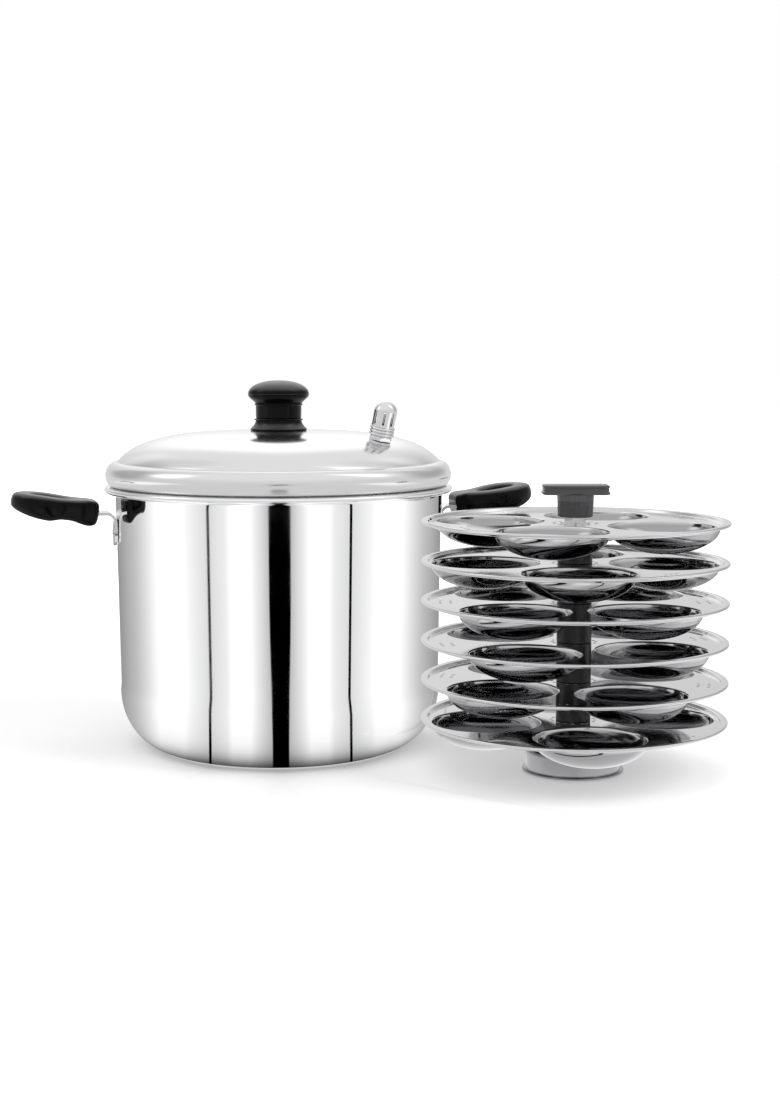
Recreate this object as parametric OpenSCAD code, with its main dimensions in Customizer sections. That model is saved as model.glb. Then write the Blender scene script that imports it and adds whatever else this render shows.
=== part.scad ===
// Steel steam cooker for rice cakes: a lidded pot with two black handles, and
// the free-standing rack of cup plates that is lifted in and out of it.
// Millimetres. Origin: centre of the pot's flat base, +Z up, the handles along
// X. The rack stands on the same surface beside the pot.

/* [Pot] */
// Radius of the flat part of the base
base_r = 78; // [72:1:84]
// Outer radius of the wall just under the rim
wall_top_r = 114.6; // [112:0.2:118]
// How much narrower the wall is where it leaves the rounded bottom corner
wall_taper = 2.1; // [1:0.1:3]
// Height of the rounded bottom corner
corner_h = 42; // [36:1:48]
// Height of the top of the rim bead
pot_h = 184.5; // [180:0.5:190]
// Thickness of the pot's sheet
pot_t = 1.2; // [1:0.1:1.4]
// How far the rolled rim reaches out past the wall
rim_over = 7.2; // [6.6:0.1:8]

/* [Handles] */
// Gap between the wall and the inner end of a handle
handle_gap = 12.4; // [11:0.1:15]
// Distance from a handle's inner end to the middle of its finger hole
eye_out = 34; // [31:0.5:37]
// Radius of the rounded outer end
handle_end_r = 25; // [23:0.5:27]
// Half width of the inner end
handle_root = 13; // [11.5:0.5:14]
// Half length of the finger hole, away from the pot
eye_a = 12.5; // [11:0.5:13.5]
// Half width of the finger hole, along the wall
eye_b = 11; // [10:0.5:12.5]
// How far the handle's middle line starts below the rim's top
handle_drop = 17.5; // [16:0.5:20]
// Upward slope of the handle
handle_tilt = 10; // [6:0.5:13]
// Width of the steel strap that carries a handle
strap_w = 20; // [16:0.5:22]
// Thickness of the steel strap
strap_t = 2; // [1.5:0.1:2.4]

/* [Lid] */
// Height of the lid's flat crown over the pot's rim
crown_rise = 38; // [34:0.5:46]
// How far the rounded ring round the lid stays inside the pot's rim
ring_back = 0.8; // [0.6:0.1:1.4]
// Width of the rounded ring, from its outside to the crease
ring_w = 8.8; // [8:0.1:10]
// Thickness of the lid's sheet
lid_t = 1; // [0.8:0.1:1.2]
// Height of the black knob with its base
knob_h = 35; // [32:0.5:38]
// Greatest radius of the knob's cap
knob_r = 21.3; // [20:0.1:22.5]

/* [Steam vent] */
// Distance from the lid's axis to the vent
vent_at = 81.7; // [78:0.1:85]
// Direction of the vent, round from the right-hand handle
vent_az = -43.3; // [-60:0.1:-30]
// Outer radius of the slotted cap
vent_r = 8; // [7:0.1:8.6]
// Number of steam slots in the cap
vent_slots = 8; // [6:1:12]

/* [Rack] */
// Gap between the pot's wall and the edges of the plates beside it
rack_gap = 0.8; // [0.8:0.1:40]
// Direction in which the rack stands, round from the right-hand handle
rack_az = -36.66; // [-60:0.01:-36]
// Width of a plate's raised rim
plate_rim_w = 5.5; // [5:0.1:7]
// How far the top plate's rim is below the pot's rim
top_drop = 17.1; // [15:0.1:20]
// Height of the lowest plate's flat over the foot
low_rise = 18.35; // [18:0.05:22]
// Thickness of the plates' sheet
plate_t = 1; // [0.8:0.1:1.1]
// Height of the raised rim over the plate's flat
rim_step = 2.2; // [1.8:0.1:2.6]
// Distance from the rod to the middle of a cup
cup_at = 58.5; // [58:0.1:59]
// Inner radius of a cup
cup_r = 36; // [34:0.1:36.2]
// Inner depth of a cup
cup_h = 16.8; // [15:0.1:17]
// Radius of the rod
rod_r = 4; // [3.5:0.1:4.5]
// Outer radius of the spacers
spacer_r = 11.5; // [10:0.1:12.4]
// Outer radius of the foot's wall
foot_r = 31.3; // [28:0.1:33]
// Height of the foot
foot_h = 15.2; // [13:0.1:15.4]

/* [Hidden] */
$fn = 96;
cut = 0.1;               // how far a cutter runs past a face
run = 0.05;              // radial clearance of a turning fit
air = 0.3;               // clearance between curved faces that must stay apart

// Colours, as the photograph shows them
steel = [0.82, 0.83, 0.84];
bright = [0.9, 0.9, 0.91];
black = [0.07, 0.07, 0.075];
grey = [0.27, 0.27, 0.28];

// Rim of the pot: the wall turns out into a flat ledge that ends in a rolled bead
wall_low_r = wall_top_r - wall_taper;
rim_r = wall_top_r + rim_over;
bead_r = 2.2;
bead_at = rim_r - bead_r;
flare_r = 1;
ledge_in = wall_top_r + flare_r;
ledge_z = pot_h - 3.15;
flare_z = ledge_z - pot_t - flare_r;

// Lid: superellipse dome, then a rounded ring, a neck inside the bead, a flat
// fold that sits on the ledge and a skirt inside the wall
knob_seat_r = 21;
crown_z = pot_h + crown_rise;
ring_r = rim_r - ring_back;
crease_r = ring_r - ring_w;
dome_a = ring_r;
dome_p = 3.6;
crease_z = ledge_z + 20.65;
dome_b = (crown_z - crease_z) / (1 - pow(1 - pow(crease_r / dome_a, dome_p), 1 / dome_p));
ring_c = [ring_r - 7.6, ledge_z + 10.95];
ring_b = 8.6;
neck_r = rim_r - 2 * bead_r - air - lid_t / 2;
fold_r = 0.5;
skirt_r = wall_top_r - pot_t - 0.7 - lid_t / 2;
skirt_z = ledge_z - 8.85;
skirt_bend = 3;
dome_points = 14;

// Steam vent, in its own frame: z from the lid's surface, along the dome's normal
vent_base_h = 3.4;
vent_collar_h = 6.2;
vent_cap_z = vent_base_h + vent_collar_h;
vent_cap_h = 17.4;
vent_tube_r = 2.9;
vent_tube_h = 8;
vent_bore_r = 1.5;
vent_neck_r = 5.4;
vent_thread_r = 4;
vent_thread_h = 6;
vent_ridge_r = 8;
vent_nut_h = 3.4;
vent_nut_gap = 0.4;
vent_seat = 0.3;
vent_hex_r = 8.6;
vent_wall = 1;
vent_slot_w = 1.3;
vent_slot_turn = 28.6;
vent_slot_low = 1.6;

// Handle, in its own frame: x out from the pot's axis, z up from the middle line
handle_in = wall_top_r + handle_gap;
handle_eye = handle_in + eye_out;
handle_z = pot_h - handle_drop;
root_round = 4;
root_fade = 12;
top_h = [8.8, 7.4];
top_fade = 26;
top_fall = 2.6;
under_h = [9, 6.6];
under_from = handle_in + 7;
under_fade = 18;
grip_from = handle_in + 27;
grip_fade = 10;
grip_h = 1.2;
tip_rise = 5.4;
handle_ring = 56;
handle_sides = 20;
tang_end = handle_in + 16;
screw_at = handle_in + 9;
screw_r = 2;
screw_head_r = 3.8;
screw_head_h = 2.5;
screw_low = 8;
screw_high = 3.8;
screw_gap = 0.2;
tang_gap = 0.1;
tab_in = wall_top_r + 0.05;
tab_low = handle_z - 23;
bend_r = 5;

// Knob: heights are measured up from the lid's crown
collar_z = 8.4;
collar_h = 0.9;
collar_r = 17.5;
neck_r1 = 15.6;
neck_r2 = 16.2;
neck_at = knob_h * 0.56;
wide_at = knob_h * 0.79;
base_edge = 0.9;
base_out = 19;
knob_screw_r = 2;
knob_screw_h = 20;
knob_head_r = 4.4;
knob_head_h = 2.6;
knob_washer_r = 7;
knob_washer_h = 1;

// Rack
rim_in = cup_at + cup_r + plate_t + 0.5;
plate_r = rim_in + plate_rim_w;
plate_top = pot_h - top_drop;
flat_top = plate_top - rim_step;
low_flat = foot_h + low_rise;
plate_gap = (flat_top - low_flat) / 5;
rack_out = wall_top_r + rack_gap + plate_r;
rack_x = rack_out * cos(rack_az);
rack_y = rack_out * sin(rack_az);
plate_turn = [-124, -107.5, -59.5, -141, -71, -99];
hub_hole_at = 14.4;
hub_hole_r = 1.2;
hub_holes = 16;
steam_r = 1;
plate_bead = 0.95;
rim_slope = 1.6;
steam_rows = [rim_in - 14, rim_in - 7];
steam_step = 3.6;
foot_t = 1.2;
foot_flange = foot_r + 2.8;
foot_round = 3;
rod_low = foot_h - 9.2;
rod_high = plate_top + 14;
nut_flat = 13;
nut_h = 6;
hub_nut_h = 4.4;
hub_washer_r = 9.6;
hub_washer_h = 1;
stem_low = flat_top + hub_nut_h;
stem_r = [11.6, 12.2];
bar_z = flat_top + 19.1;
bar_h = 6.5;
bar_size = [44.5, 22];
bar_round = 5;
bar_groove = 0.9;
bar_turn = -14;

// Points of an elliptical arc about c, with half axes a and b, from angle a0 to a1
function arc(c, a, b, a0, a1, n) =
    [for (i = [0 : n]) let (q = a0 + (a1 - a0) * i / n) [c.x + a * cos(q), c.y + b * sin(q)]];
function reverse(p) = [for (i = [len(p) - 1 : -1 : 0]) p[i]];
// Unit vector square to the path at point i, to its left
function path_left(p, i) =
    let (a = p[max(i - 1, 0)], b = p[min(i + 1, len(p) - 1)], d = b - a)
    [-d.y, d.x] / norm(d);
// A sheet of thickness t with the path as its middle line
function sheet(p, t) = concat(
    [for (i = [0 : len(p) - 1]) p[i] + path_left(p, i) * t / 2],
    reverse([for (i = [0 : len(p) - 1]) p[i] - path_left(p, i) * t / 2]));
function smooth(x) = let (q = min(max(x, 0), 1)) q * q * (3 - 2 * q);
function mix(a, b, x) = a + (b - a) * x;
// Height of the lid's top face at radius r, and the dome's slope there
function dome_z(r) =
    crown_z - dome_b * (1 - pow(1 - pow(r / dome_a, dome_p), 1 / dome_p));
function dome_slope(r) = atan((dome_z(r - 0.5) - dome_z(r + 0.5)));

module tube(r_out, r_in, h, z = 0) {
    translate([0, 0, z])
        difference() {
            cylinder(r = r_out, h = h);
            translate([0, 0, -cut]) cylinder(r = r_in, h = h + 2 * cut);
        }
}

module hex_nut(flat, bore, h) {
    difference() {
        cylinder(r = flat / sqrt(3), h = h, $fn = 6);
        translate([0, 0, -cut]) cylinder(r = bore, h = h + 2 * cut);
    }
}

module pot_body() {
    color(steel) {
        rotate_extrude()
            polygon(concat(
                [[0, 0]],
                arc([base_r, corner_h], wall_low_r - base_r, corner_h, -90, 0, 14),
                arc([ledge_in, flare_z], flare_r, flare_r, 180, 90, 6),
                [[bead_at, flare_z + flare_r], [bead_at, ledge_z]],
                arc([ledge_in, flare_z], flare_r + pot_t, flare_r + pot_t, 90, 180, 6),
                arc([base_r, corner_h], wall_low_r - base_r - pot_t, corner_h - pot_t,
                    0, -90, 14),
                [[0, pot_t]]));
        rotate_extrude()
            translate([bead_at, pot_h - bead_r]) circle(r = bead_r, $fn = 32);
    }
}

// Bent strap: a tab that lies on the wall and a tang that runs into the handle
module handle_bracket() {
    bend = [tab_in + strap_t + bend_r, handle_z - bend_r - strap_t / 2];
    slope = [cos(handle_tilt), sin(handle_tilt)];
    lean = [-slope.y, slope.x] * strap_t / 2;
    tang_in = [handle_in, handle_z];
    tang_out = tang_in + slope * (tang_end - handle_in);
    color(bright)
        difference() {
            intersection() {
                rotate([90, 0, 0])
                    linear_extrude(strap_w, center = true)
                        polygon(concat(
                            [[tab_in, tab_low]],
                            arc(bend, bend_r + strap_t, bend_r + strap_t, 180, 90, 8),
                            [tang_in + lean, tang_out + lean, tang_out - lean,
                             tang_in - lean],
                            arc(bend, bend_r, bend_r, 90, 180, 8),
                            [[tab_in + strap_t, tab_low]]));
                union() {
                    translate([0, 0, tab_low + strap_w / 2])
                        rotate([0, 90, 0]) cylinder(r = strap_w / 2, h = 200);
                    translate([0, -strap_w, tab_low + strap_w / 2])
                        cube([200, 2 * strap_w, 60]);
                }
            }
            handle_frame()
                translate([screw_at, 0, -screw_low])
                    cylinder(r = screw_r + screw_gap, h = 2 * screw_low, $fn = 32);
        }
}

// Moves from the handle's own frame to the pot's
module handle_frame() {
    translate([handle_in, 0, handle_z])
        rotate([0, -handle_tilt, 0])
            translate([-handle_in, 0, 0]) children();
}

// Half width of the handle's outline at x
function handle_w(x) =
    x > handle_eye ? sqrt(max(pow(handle_end_r, 2) - pow(x - handle_eye, 2), 0)) :
    x < handle_in + root_round
        ? handle_root - root_round
          + sqrt(max(pow(root_round, 2) - pow(handle_in + root_round - x, 2), 0))
        : mix(handle_root, handle_end_r,
              smooth((x - handle_in - root_round) / (handle_eye - handle_in - root_round)));
// Upper and lower faces of the handle at x, from its middle line
function handle_up(x) = mix(top_h[0], top_h[1], smooth((x - handle_in) / top_fade))
    - top_fall * pow(max(x - handle_eye, 0) / handle_end_r, 2);
function handle_down(x) = mix(-under_h[0], -under_h[1], smooth((x - under_from) / under_fade))
    - grip_h * smooth((x - grip_from) / grip_fade)
    + tip_rise * pow(max(x - handle_eye, 0) / handle_end_r, 2);
// Point of the outline at step i of n: the round end, the flank, then the root edge
function outline(i, n) =
    let (q = 360 * i / n, s = q <= 180 ? 1 : -1, a = q <= 180 ? q : 360 - q)
    a <= 90 ? [handle_eye + handle_end_r * cos(a), s * handle_end_r * sin(a)] :
    a <= 150 ? let (x = mix(handle_eye, handle_in, 1 - pow(cos((a - 90) * 1.5), 1.2)))
        [x, s * handle_w(x)] :
    [handle_in, s * handle_w(handle_in) * (180 - a) / 30];
function eye(i, n) = [handle_eye + eye_a * cos(360 * i / n), eye_b * sin(360 * i / n)];
function signed_pow(v, p) = sign(v) * pow(abs(v), p);
// Point of the handle's skin: step i round the finger hole, step j round the section
function skin(i, j) =
    let (o = outline(i, handle_ring), e = eye(i, handle_ring), q = 360 * j / handle_sides,
         root = smooth((handle_in + root_fade - o.x) / root_fade),
         pc = mix(0.62, 0.35, root),
         k = (1 + signed_pow(cos(q), pc)) / 2,
         p = e + (o - e) * k, h = signed_pow(sin(q), 0.55))
    [p.x, p.y, h >= 0 ? h * handle_up(p.x) : -h * handle_down(p.x)];

module handle() {
    n = handle_ring;
    m = handle_sides;
    points = [for (i = [0 : n - 1], j = [0 : m - 1]) skin(i, j)];
    faces = [for (i = [0 : n - 1], j = [0 : m - 1])
        let (a = i * m + j, b = ((i + 1) % n) * m + j,
             c = ((i + 1) % n) * m + (j + 1) % m, d = i * m + (j + 1) % m)
        each [[a, b, c], [a, c, d]]];
    color(black)
        difference() {
            handle_frame() polyhedron(points, faces, convexity = 6);
            handle_frame() {
                translate([handle_in - 1, -strap_w / 2 - tang_gap, -strap_t / 2 - tang_gap])
                    cube([tang_end - handle_in + 1 + tang_gap, strap_w + 2 * tang_gap,
                          strap_t + 2 * tang_gap]);
                translate([screw_at, 0, -2 * screw_low])
                    cylinder(r = screw_head_r + air, h = screw_low + screw_head_h, $fn = 32);
                translate([screw_at, 0, -2 * screw_low])
                    cylinder(r = screw_r + screw_gap, h = 2 * screw_low + screw_high + air + cut,
                             $fn = 32);
            }
        }
}

module handle_screw() {
    color(bright)
        handle_frame()
            translate([screw_at, 0, 0]) {
                translate([0, 0, -screw_low])
                    cylinder(r = screw_head_r, h = screw_head_h, $fn = 32);
                translate([0, 0, screw_head_h - screw_low - cut])
                    cylinder(r = screw_r, h = screw_low - screw_head_h + cut + screw_high,
                             $fn = 32);
            }
}

module handle_bracket_right() {
    handle_bracket();
}

module handle_bracket_left() {
    rotate(180) handle_bracket();
}

module handle_right() {
    handle();
}

module handle_left() {
    rotate(180) handle();
}

module handle_screws() {
    for (a = [0, 180])
        rotate(a) handle_screw();
}

module vent_frame() {
    rotate(vent_az)
        translate([vent_at, 0, dome_z(vent_at)])
            rotate([0, dome_slope(vent_at), 0]) children();
}

module lid_shell() {
    t2 = lid_t / 2;
    neck = neck_r;
    path = concat(
        [[0, crown_z - t2], [knob_seat_r - 0.5, crown_z - t2], [knob_seat_r, crown_z - t2]],
        [for (i = [1 : dome_points])
            let (r = mix(knob_seat_r, crease_r, sin(90 * i / dome_points)))
            [r, dome_z(r) - t2]],
        arc(ring_c, ring_r - t2 - ring_c.x, ring_b, 86, -50, 14),
        [[neck + 0.25, ledge_z + 3.4], [neck, ledge_z + 2.2]],
        arc([neck - fold_r, ledge_z + t2 + fold_r], fold_r, fold_r, 0, -90, 3),
        arc([skirt_r + skirt_bend, ledge_z + t2 - skirt_bend], skirt_bend, skirt_bend,
            90, 180, 6),
        [[skirt_r, skirt_z]]);
    color(steel)
        difference() {
            rotate_extrude() polygon(sheet(path, lid_t));
            translate([0, 0, crown_z - 5 * lid_t])
                cylinder(r = knob_screw_r + 2 * air, h = 10 * lid_t, $fn = 48);
            vent_frame()
                translate([0, 0, -5 * lid_t])
                    cylinder(r = vent_thread_r + cut, h = 10 * lid_t, $fn = 48);
        }
}

module lid_knob() {
    color(black)
        translate([0, 0, crown_z])
            difference() {
                rotate_extrude()
                    polygon(concat(
                        [[0, collar_z], [neck_r1, collar_z]],
                        [for (i = [0 : 10])
                            [mix(neck_r2, knob_r, smooth(i / 10)),
                             mix(neck_at, wide_at - 0.4, pow(i / 10, 1.2))]],
                        arc([0, wide_at], knob_r, knob_h - wide_at, 0, 90, 14)));
                translate([0, 0, collar_z - cut])
                    cylinder(r = knob_screw_r + run, h = knob_screw_h - collar_z, $fn = 48);
            }
}

module knob_base() {
    color(black)
        translate([0, 0, crown_z])
            difference() {
                rotate_extrude()
                    polygon(concat(
                        [[0, 0], [base_out + base_edge / 2, 0]],
                        arc([base_out, base_edge], base_edge, base_edge, -60, 60, 4),
                        [for (i = [1 : 8])
                            [mix(base_out + base_edge / 2, neck_r2, sin(90 * i / 8)),
                             mix(2 * base_edge, collar_z - collar_h, i / 8)]],
                        [[collar_r, collar_z - collar_h], [collar_r, collar_z - collar_h / 4],
                         [collar_r - collar_h, collar_z], [0, collar_z]]));
                translate([0, 0, -cut])
                    cylinder(r = knob_screw_r + run, h = collar_z + 2 * cut, $fn = 48);
            }
}

module knob_screw() {
    color(bright)
        translate([0, 0, crown_z]) {
            tube(knob_washer_r, knob_screw_r, knob_washer_h, -lid_t - knob_washer_h);
            translate([0, 0, -lid_t - knob_washer_h - knob_head_h])
                cylinder(r = knob_head_r, h = knob_head_h, $fn = 48);
            translate([0, 0, -lid_t - knob_washer_h - cut])
                cylinder(r = knob_screw_r, h = knob_screw_h, $fn = 48);
        }
}

module vent_stem() {
    color(steel)
        vent_frame()
            difference() {
                union() {
                    translate([0, 0, vent_seat])
                        cylinder(r = vent_hex_r, h = vent_base_h - vent_seat, $fn = 6);
                    translate([0, 0, -vent_thread_h])
                        cylinder(r = vent_thread_r, h = vent_thread_h + vent_base_h, $fn = 48);
                    translate([0, 0, vent_seat])
                        cylinder(r = vent_neck_r, h = vent_cap_z - vent_seat, $fn = 48);
                    cylinder(r = vent_tube_r, h = vent_cap_z + vent_tube_h, $fn = 48);
                }
                translate([0, 0, -vent_thread_h - cut])
                    cylinder(r = vent_bore_r,
                             h = vent_thread_h + vent_cap_z + vent_tube_h + 2 * cut, $fn = 48);
            }
}

module vent_collar() {
    ring_h = vent_collar_h / 3;
    color(bright)
        vent_frame()
            difference() {
                union() {
                    translate([0, 0, vent_base_h]) cylinder(r = vent_ridge_r, h = vent_collar_h);
                    for (i = [0 : 2])
                        translate([0, 0, vent_base_h + ring_h * (i + 0.5)])
                            rotate_extrude()
                                translate([vent_ridge_r, 0]) circle(r = ring_h * 0.46, $fn = 24);
                }
                translate([0, 0, vent_base_h - cut])
                    cylinder(r = vent_neck_r, h = vent_collar_h + 2 * cut, $fn = 48);
            }
}

module vent_nut() {
    color(bright)
        vent_frame()
            translate([0, 0, -lid_t - vent_nut_gap - vent_nut_h])
                hex_nut(nut_flat, vent_thread_r, vent_nut_h);
}

module vent_cap() {
    top = vent_cap_h - vent_r;
    inner = vent_r - vent_wall;
    color(bright)
        vent_frame()
            translate([0, 0, vent_cap_z])
                difference() {
                    bullet(vent_r, 0, top);
                    bullet(inner, -cut, top);
                    for (i = [0 : vent_slots - 1])
                        rotate(360 * i / vent_slots + vent_slot_turn)
                            translate([inner - 1, -vent_slot_w / 2, vent_slot_low])
                                cube([4, vent_slot_w, top - vent_slot_low + 1]);
                }
}

// Cylinder of radius r from low to top, with half a ball on it
module bullet(r, low, top) {
    rotate_extrude()
        polygon(concat([[0, low], [r, low]], arc([0, top], r, r, 0, 90, 12)));
}

module rack_frame(z = 0) {
    translate([rack_x, rack_y, z]) children();
}

module rack_foot() {
    wall_in = foot_r - foot_t;
    hole = rod_r + run;
    color(steel)
        rack_frame()
            rotate_extrude()
                polygon(concat(
                    [[hole, foot_h]],
                    arc([foot_r - foot_round, foot_h - foot_round], foot_round, foot_round,
                        90, 0, 6),
                    arc([foot_r + 1, foot_t + 1], 1, 1, 180, 270, 4),
                    arc([foot_flange - foot_t / 2, foot_t / 2], foot_t / 2, foot_t / 2,
                        90, -90, 8),
                    [[wall_in, 0]],
                    arc([foot_r - foot_round, foot_h - foot_round], foot_round - foot_t,
                        foot_round - foot_t, 0, 90, 6),
                    [[hole, foot_h - foot_t]]));
}

module centre_rod() {
    color(bright)
        rack_frame(rod_low) cylinder(r = rod_r, h = rod_high - rod_low, $fn = 64);
}

module foot_nut() {
    color(bright)
        rack_frame(foot_h - foot_t - nut_h) hex_nut(nut_flat, rod_r, nut_h);
}

module spacer(low, high) {
    color(grey)
        rack_frame(low) tube(spacer_r, rod_r + run, high - low);
}

// Spacer i stands under plate i and on the plate below it; the last is on the foot
module spacer_under(i) {
    top = flat_top - plate_gap * (i - 1) - plate_t;
    spacer(i < 6 ? top - plate_gap + plate_t : foot_h, top);
}

// Half an ellipsoid, open side up, with a straight neck on top
module bowl(a, b, neck = 0) {
    rotate_extrude()
        polygon(concat([[0, neck], [a, neck]], arc([0, 0], a, b, 0, -90, 14)));
}

module idli_plate(i) {
    t2 = plate_t / 2;
    path = [[0, -t2], [rim_in - 0.2, -t2], [rim_in, -t2],
            [rim_in + rim_slope, rim_step - t2],
            [plate_r - plate_bead, rim_step - t2]];
    color(steel)
        rack_frame(flat_top - plate_gap * (i - 1))
            rotate(plate_turn[i - 1])
                difference() {
                    union() {
                        rotate_extrude() polygon(sheet(path, plate_t));
                        rotate_extrude()
                            translate([plate_r - plate_bead, rim_step - plate_bead + 0.1])
                                circle(r = plate_bead, $fn = 24);
                        for (k = [0 : 3])
                            rotate(90 * k) translate([cup_at, 0, -t2])
                                bowl(cup_r + plate_t, cup_h + t2);
                    }
                    for (k = [0 : 3]) {
                        rotate(90 * k) translate([cup_at, 0, 0]) bowl(cup_r, cup_h, 1);
                        for (r = steam_rows, j = [-1 : 1])
                            rotate(90 * k + 45 + j * steam_step) translate([r, 0, -2 * plate_t])
                                cylinder(r = steam_r, h = 4 * plate_t, $fn = 16);
                    }
                    for (j = [0 : hub_holes - 1])
                        rotate(360 * (j + 0.5) / hub_holes)
                            translate([hub_hole_at, 0, -2 * plate_t])
                                cylinder(r = hub_hole_r, h = 4 * plate_t, $fn = 16);
                    translate([0, 0, -2 * plate_t])
                        cylinder(r = rod_r + run, h = 4 * plate_t, $fn = 64);
                }
}

module hub_nut() {
    color(bright)
        rack_frame(flat_top) {
            tube(hub_washer_r, rod_r + run, hub_washer_h);
            translate([0, 0, hub_washer_h])
                hex_nut(nut_flat, rod_r + run, hub_nut_h - hub_washer_h);
        }
}

module rounded_bar(size, r, h) {
    for (a = [-1, 1], b = [-1, 1])
        translate([a * (size.x / 2 - r), b * (size.y / 2 - r), 0]) cylinder(r = r, h = h, $fn = 48);
    translate([-size.x / 2 + r, -size.y / 2, 0]) cube([size.x - 2 * r, size.y, h]);
    translate([-size.x / 2, -size.y / 2 + r, 0]) cube([size.x, size.y - 2 * r, h]);
}

module lift_knob() {
    slab = bar_h * 0.34;
    waist = bar_h - 2 * slab;
    inner = [bar_size.x - 2 * bar_groove, bar_size.y - 2 * bar_groove];
    upper = [bar_size.x - bar_groove, bar_size.y - bar_groove];
    color(grey)
        rack_frame()
            rotate(bar_turn)
                difference() {
                    union() {
                        translate([0, 0, stem_low])
                            cylinder(r1 = stem_r[0], r2 = stem_r[1], h = bar_z - stem_low + cut);
                        translate([0, 0, bar_z]) rounded_bar(bar_size, bar_round, slab);
                        translate([0, 0, bar_z + slab - cut])
                            rounded_bar(inner, bar_round - bar_groove, waist + 2 * cut);
                        translate([0, 0, bar_z + slab + waist])
                            rounded_bar(upper, bar_round, slab);
                    }
                    translate([0, 0, stem_low - cut])
                        cylinder(r = rod_r + run, h = rod_high - stem_low + 1, $fn = 64);
                }
}

module spacer_1() {
    spacer_under(1);
}

module spacer_2() {
    spacer_under(2);
}

module spacer_3() {
    spacer_under(3);
}

module spacer_4() {
    spacer_under(4);
}

module spacer_5() {
    spacer_under(5);
}

module spacer_6() {
    spacer_under(6);
}

module idli_plate_1() {
    idli_plate(1);
}

module idli_plate_2() {
    idli_plate(2);
}

module idli_plate_3() {
    idli_plate(3);
}

module idli_plate_4() {
    idli_plate(4);
}

module idli_plate_5() {
    idli_plate(5);
}

module idli_plate_6() {
    idli_plate(6);
}

pot_body();
handle_bracket_left();
handle_bracket_right();
handle_left();
handle_right();
handle_screws();
lid_shell();
lid_knob();
knob_base();
knob_screw();
vent_stem();
vent_collar();
vent_nut();
vent_cap();
rack_foot();
centre_rod();
foot_nut();
spacer_1();
spacer_2();
spacer_3();
spacer_4();
spacer_5();
spacer_6();
idli_plate_1();
idli_plate_2();
idli_plate_3();
idli_plate_4();
idli_plate_5();
idli_plate_6();
hub_nut();
lift_knob();
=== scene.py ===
"""Dressed model of a steel rice-cake steamer.

The pot, its handles, the lid with its knob and steam vent, and the rack of cup
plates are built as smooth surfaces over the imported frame, and finished as
polished stainless steel, moulded phenolic and moulded plastic.
"""

import logging
import math
from dataclasses import dataclass
from enum import Enum
from typing import Any, Iterable, Sequence

import bmesh
import bpy
import numpy as np
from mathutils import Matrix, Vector
from mathutils.geometry import delaunay_2d_cdt


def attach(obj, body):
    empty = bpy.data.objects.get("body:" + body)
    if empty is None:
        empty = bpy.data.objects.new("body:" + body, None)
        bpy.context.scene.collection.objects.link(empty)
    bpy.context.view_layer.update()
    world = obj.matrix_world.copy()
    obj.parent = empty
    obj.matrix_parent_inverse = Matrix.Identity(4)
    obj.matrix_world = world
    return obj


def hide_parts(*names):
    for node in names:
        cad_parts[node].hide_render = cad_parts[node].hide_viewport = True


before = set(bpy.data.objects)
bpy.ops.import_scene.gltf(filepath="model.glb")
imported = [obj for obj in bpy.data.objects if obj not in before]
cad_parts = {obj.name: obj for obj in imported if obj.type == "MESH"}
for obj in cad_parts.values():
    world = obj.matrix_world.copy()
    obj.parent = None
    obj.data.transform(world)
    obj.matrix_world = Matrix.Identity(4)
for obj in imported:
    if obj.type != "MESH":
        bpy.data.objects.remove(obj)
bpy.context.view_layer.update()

Array = np.ndarray
Pair = tuple[float, float]
Tree = bpy.types.NodeTree
Socket = bpy.types.NodeSocket

MM = 0.001
WELD = 0.0008 * MM  # points closer than this become one
FINE = 0.1 * MM  # depth of fine surface patterns
WHITE = (1.0, 1.0, 1.0, 1.0)
log = logging.getLogger("steamer")


# ---------------------------------------------------------------- surfaces


def arc(centre: Sequence[float], a: float, b: float, start: float, stop: float,
        count: int) -> Array:
    """Points of an elliptical arc.

    Args:
        centre: Centre of the ellipse.
        a: Half axis along the first coordinate.
        b: Half axis along the second coordinate.
        start: First angle in degrees.
        stop: Last angle in degrees.
        count: Number of points.

    Returns:
        An array of count points: centre + (a cos q, b sin q), q evenly spaced.
    """
    q = np.radians(np.linspace(start, stop, count))
    return np.stack([centre[0] + a * np.cos(q), centre[1] + b * np.sin(q)], -1)


def rounded(points: Iterable[Sequence[float]], reach: float, steps: int) -> Array:
    """A polyline with each inner corner rounded off.

    Args:
        points: Corners of the line.
        reach: How far before and after a corner its curve starts and ends.
        steps: Points on each curve.

    Returns:
        The rounded line. Each corner is a quadratic curve whose middle control
        point is the corner itself.
    """
    p = np.asarray(list(points), float)
    t = np.linspace(0, 1, steps)[:, None]
    parts = [p[:1]]
    for before, corner, after in zip(p[:-2], p[1:-1], p[2:]):
        u, v = before - corner, after - corner
        lu, lv = np.linalg.norm(u), np.linalg.norm(v)
        a = corner + u / lu * min(reach, lu * 0.48)
        b = corner + v / lv * min(reach, lv * 0.48)
        parts.append((1 - t) ** 2 * a + 2 * t * (1 - t) * corner + t ** 2 * b)
    return np.concatenate([*parts, p[-1:]])


def left_of(path: Array) -> Array:
    """Unit vectors square to a planar path, to its left, one for each point."""
    d = np.gradient(path, axis=0)
    d /= np.linalg.norm(d, axis=1, keepdims=True)
    return np.stack([-d[:, 1], d[:, 0]], -1)


def sheet(path: Array, thickness: float) -> Array:
    """Outline of a sheet whose middle line is the path, as one closed loop."""
    side = left_of(path) * thickness / 2
    return np.concatenate([path + side, (path - side)[::-1]])


def smoothstep(x: Array) -> Array:
    """Smooth rise from 0 to 1: 3x^2 - 2x^3 between 0 and 1, flat outside."""
    q = np.clip(x, 0, 1)
    return q * q * (3 - 2 * q)


def mix(a: Any, b: Any, x: Any) -> Any:
    """Straight blend from a to b."""
    return a + (b - a) * x


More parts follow.
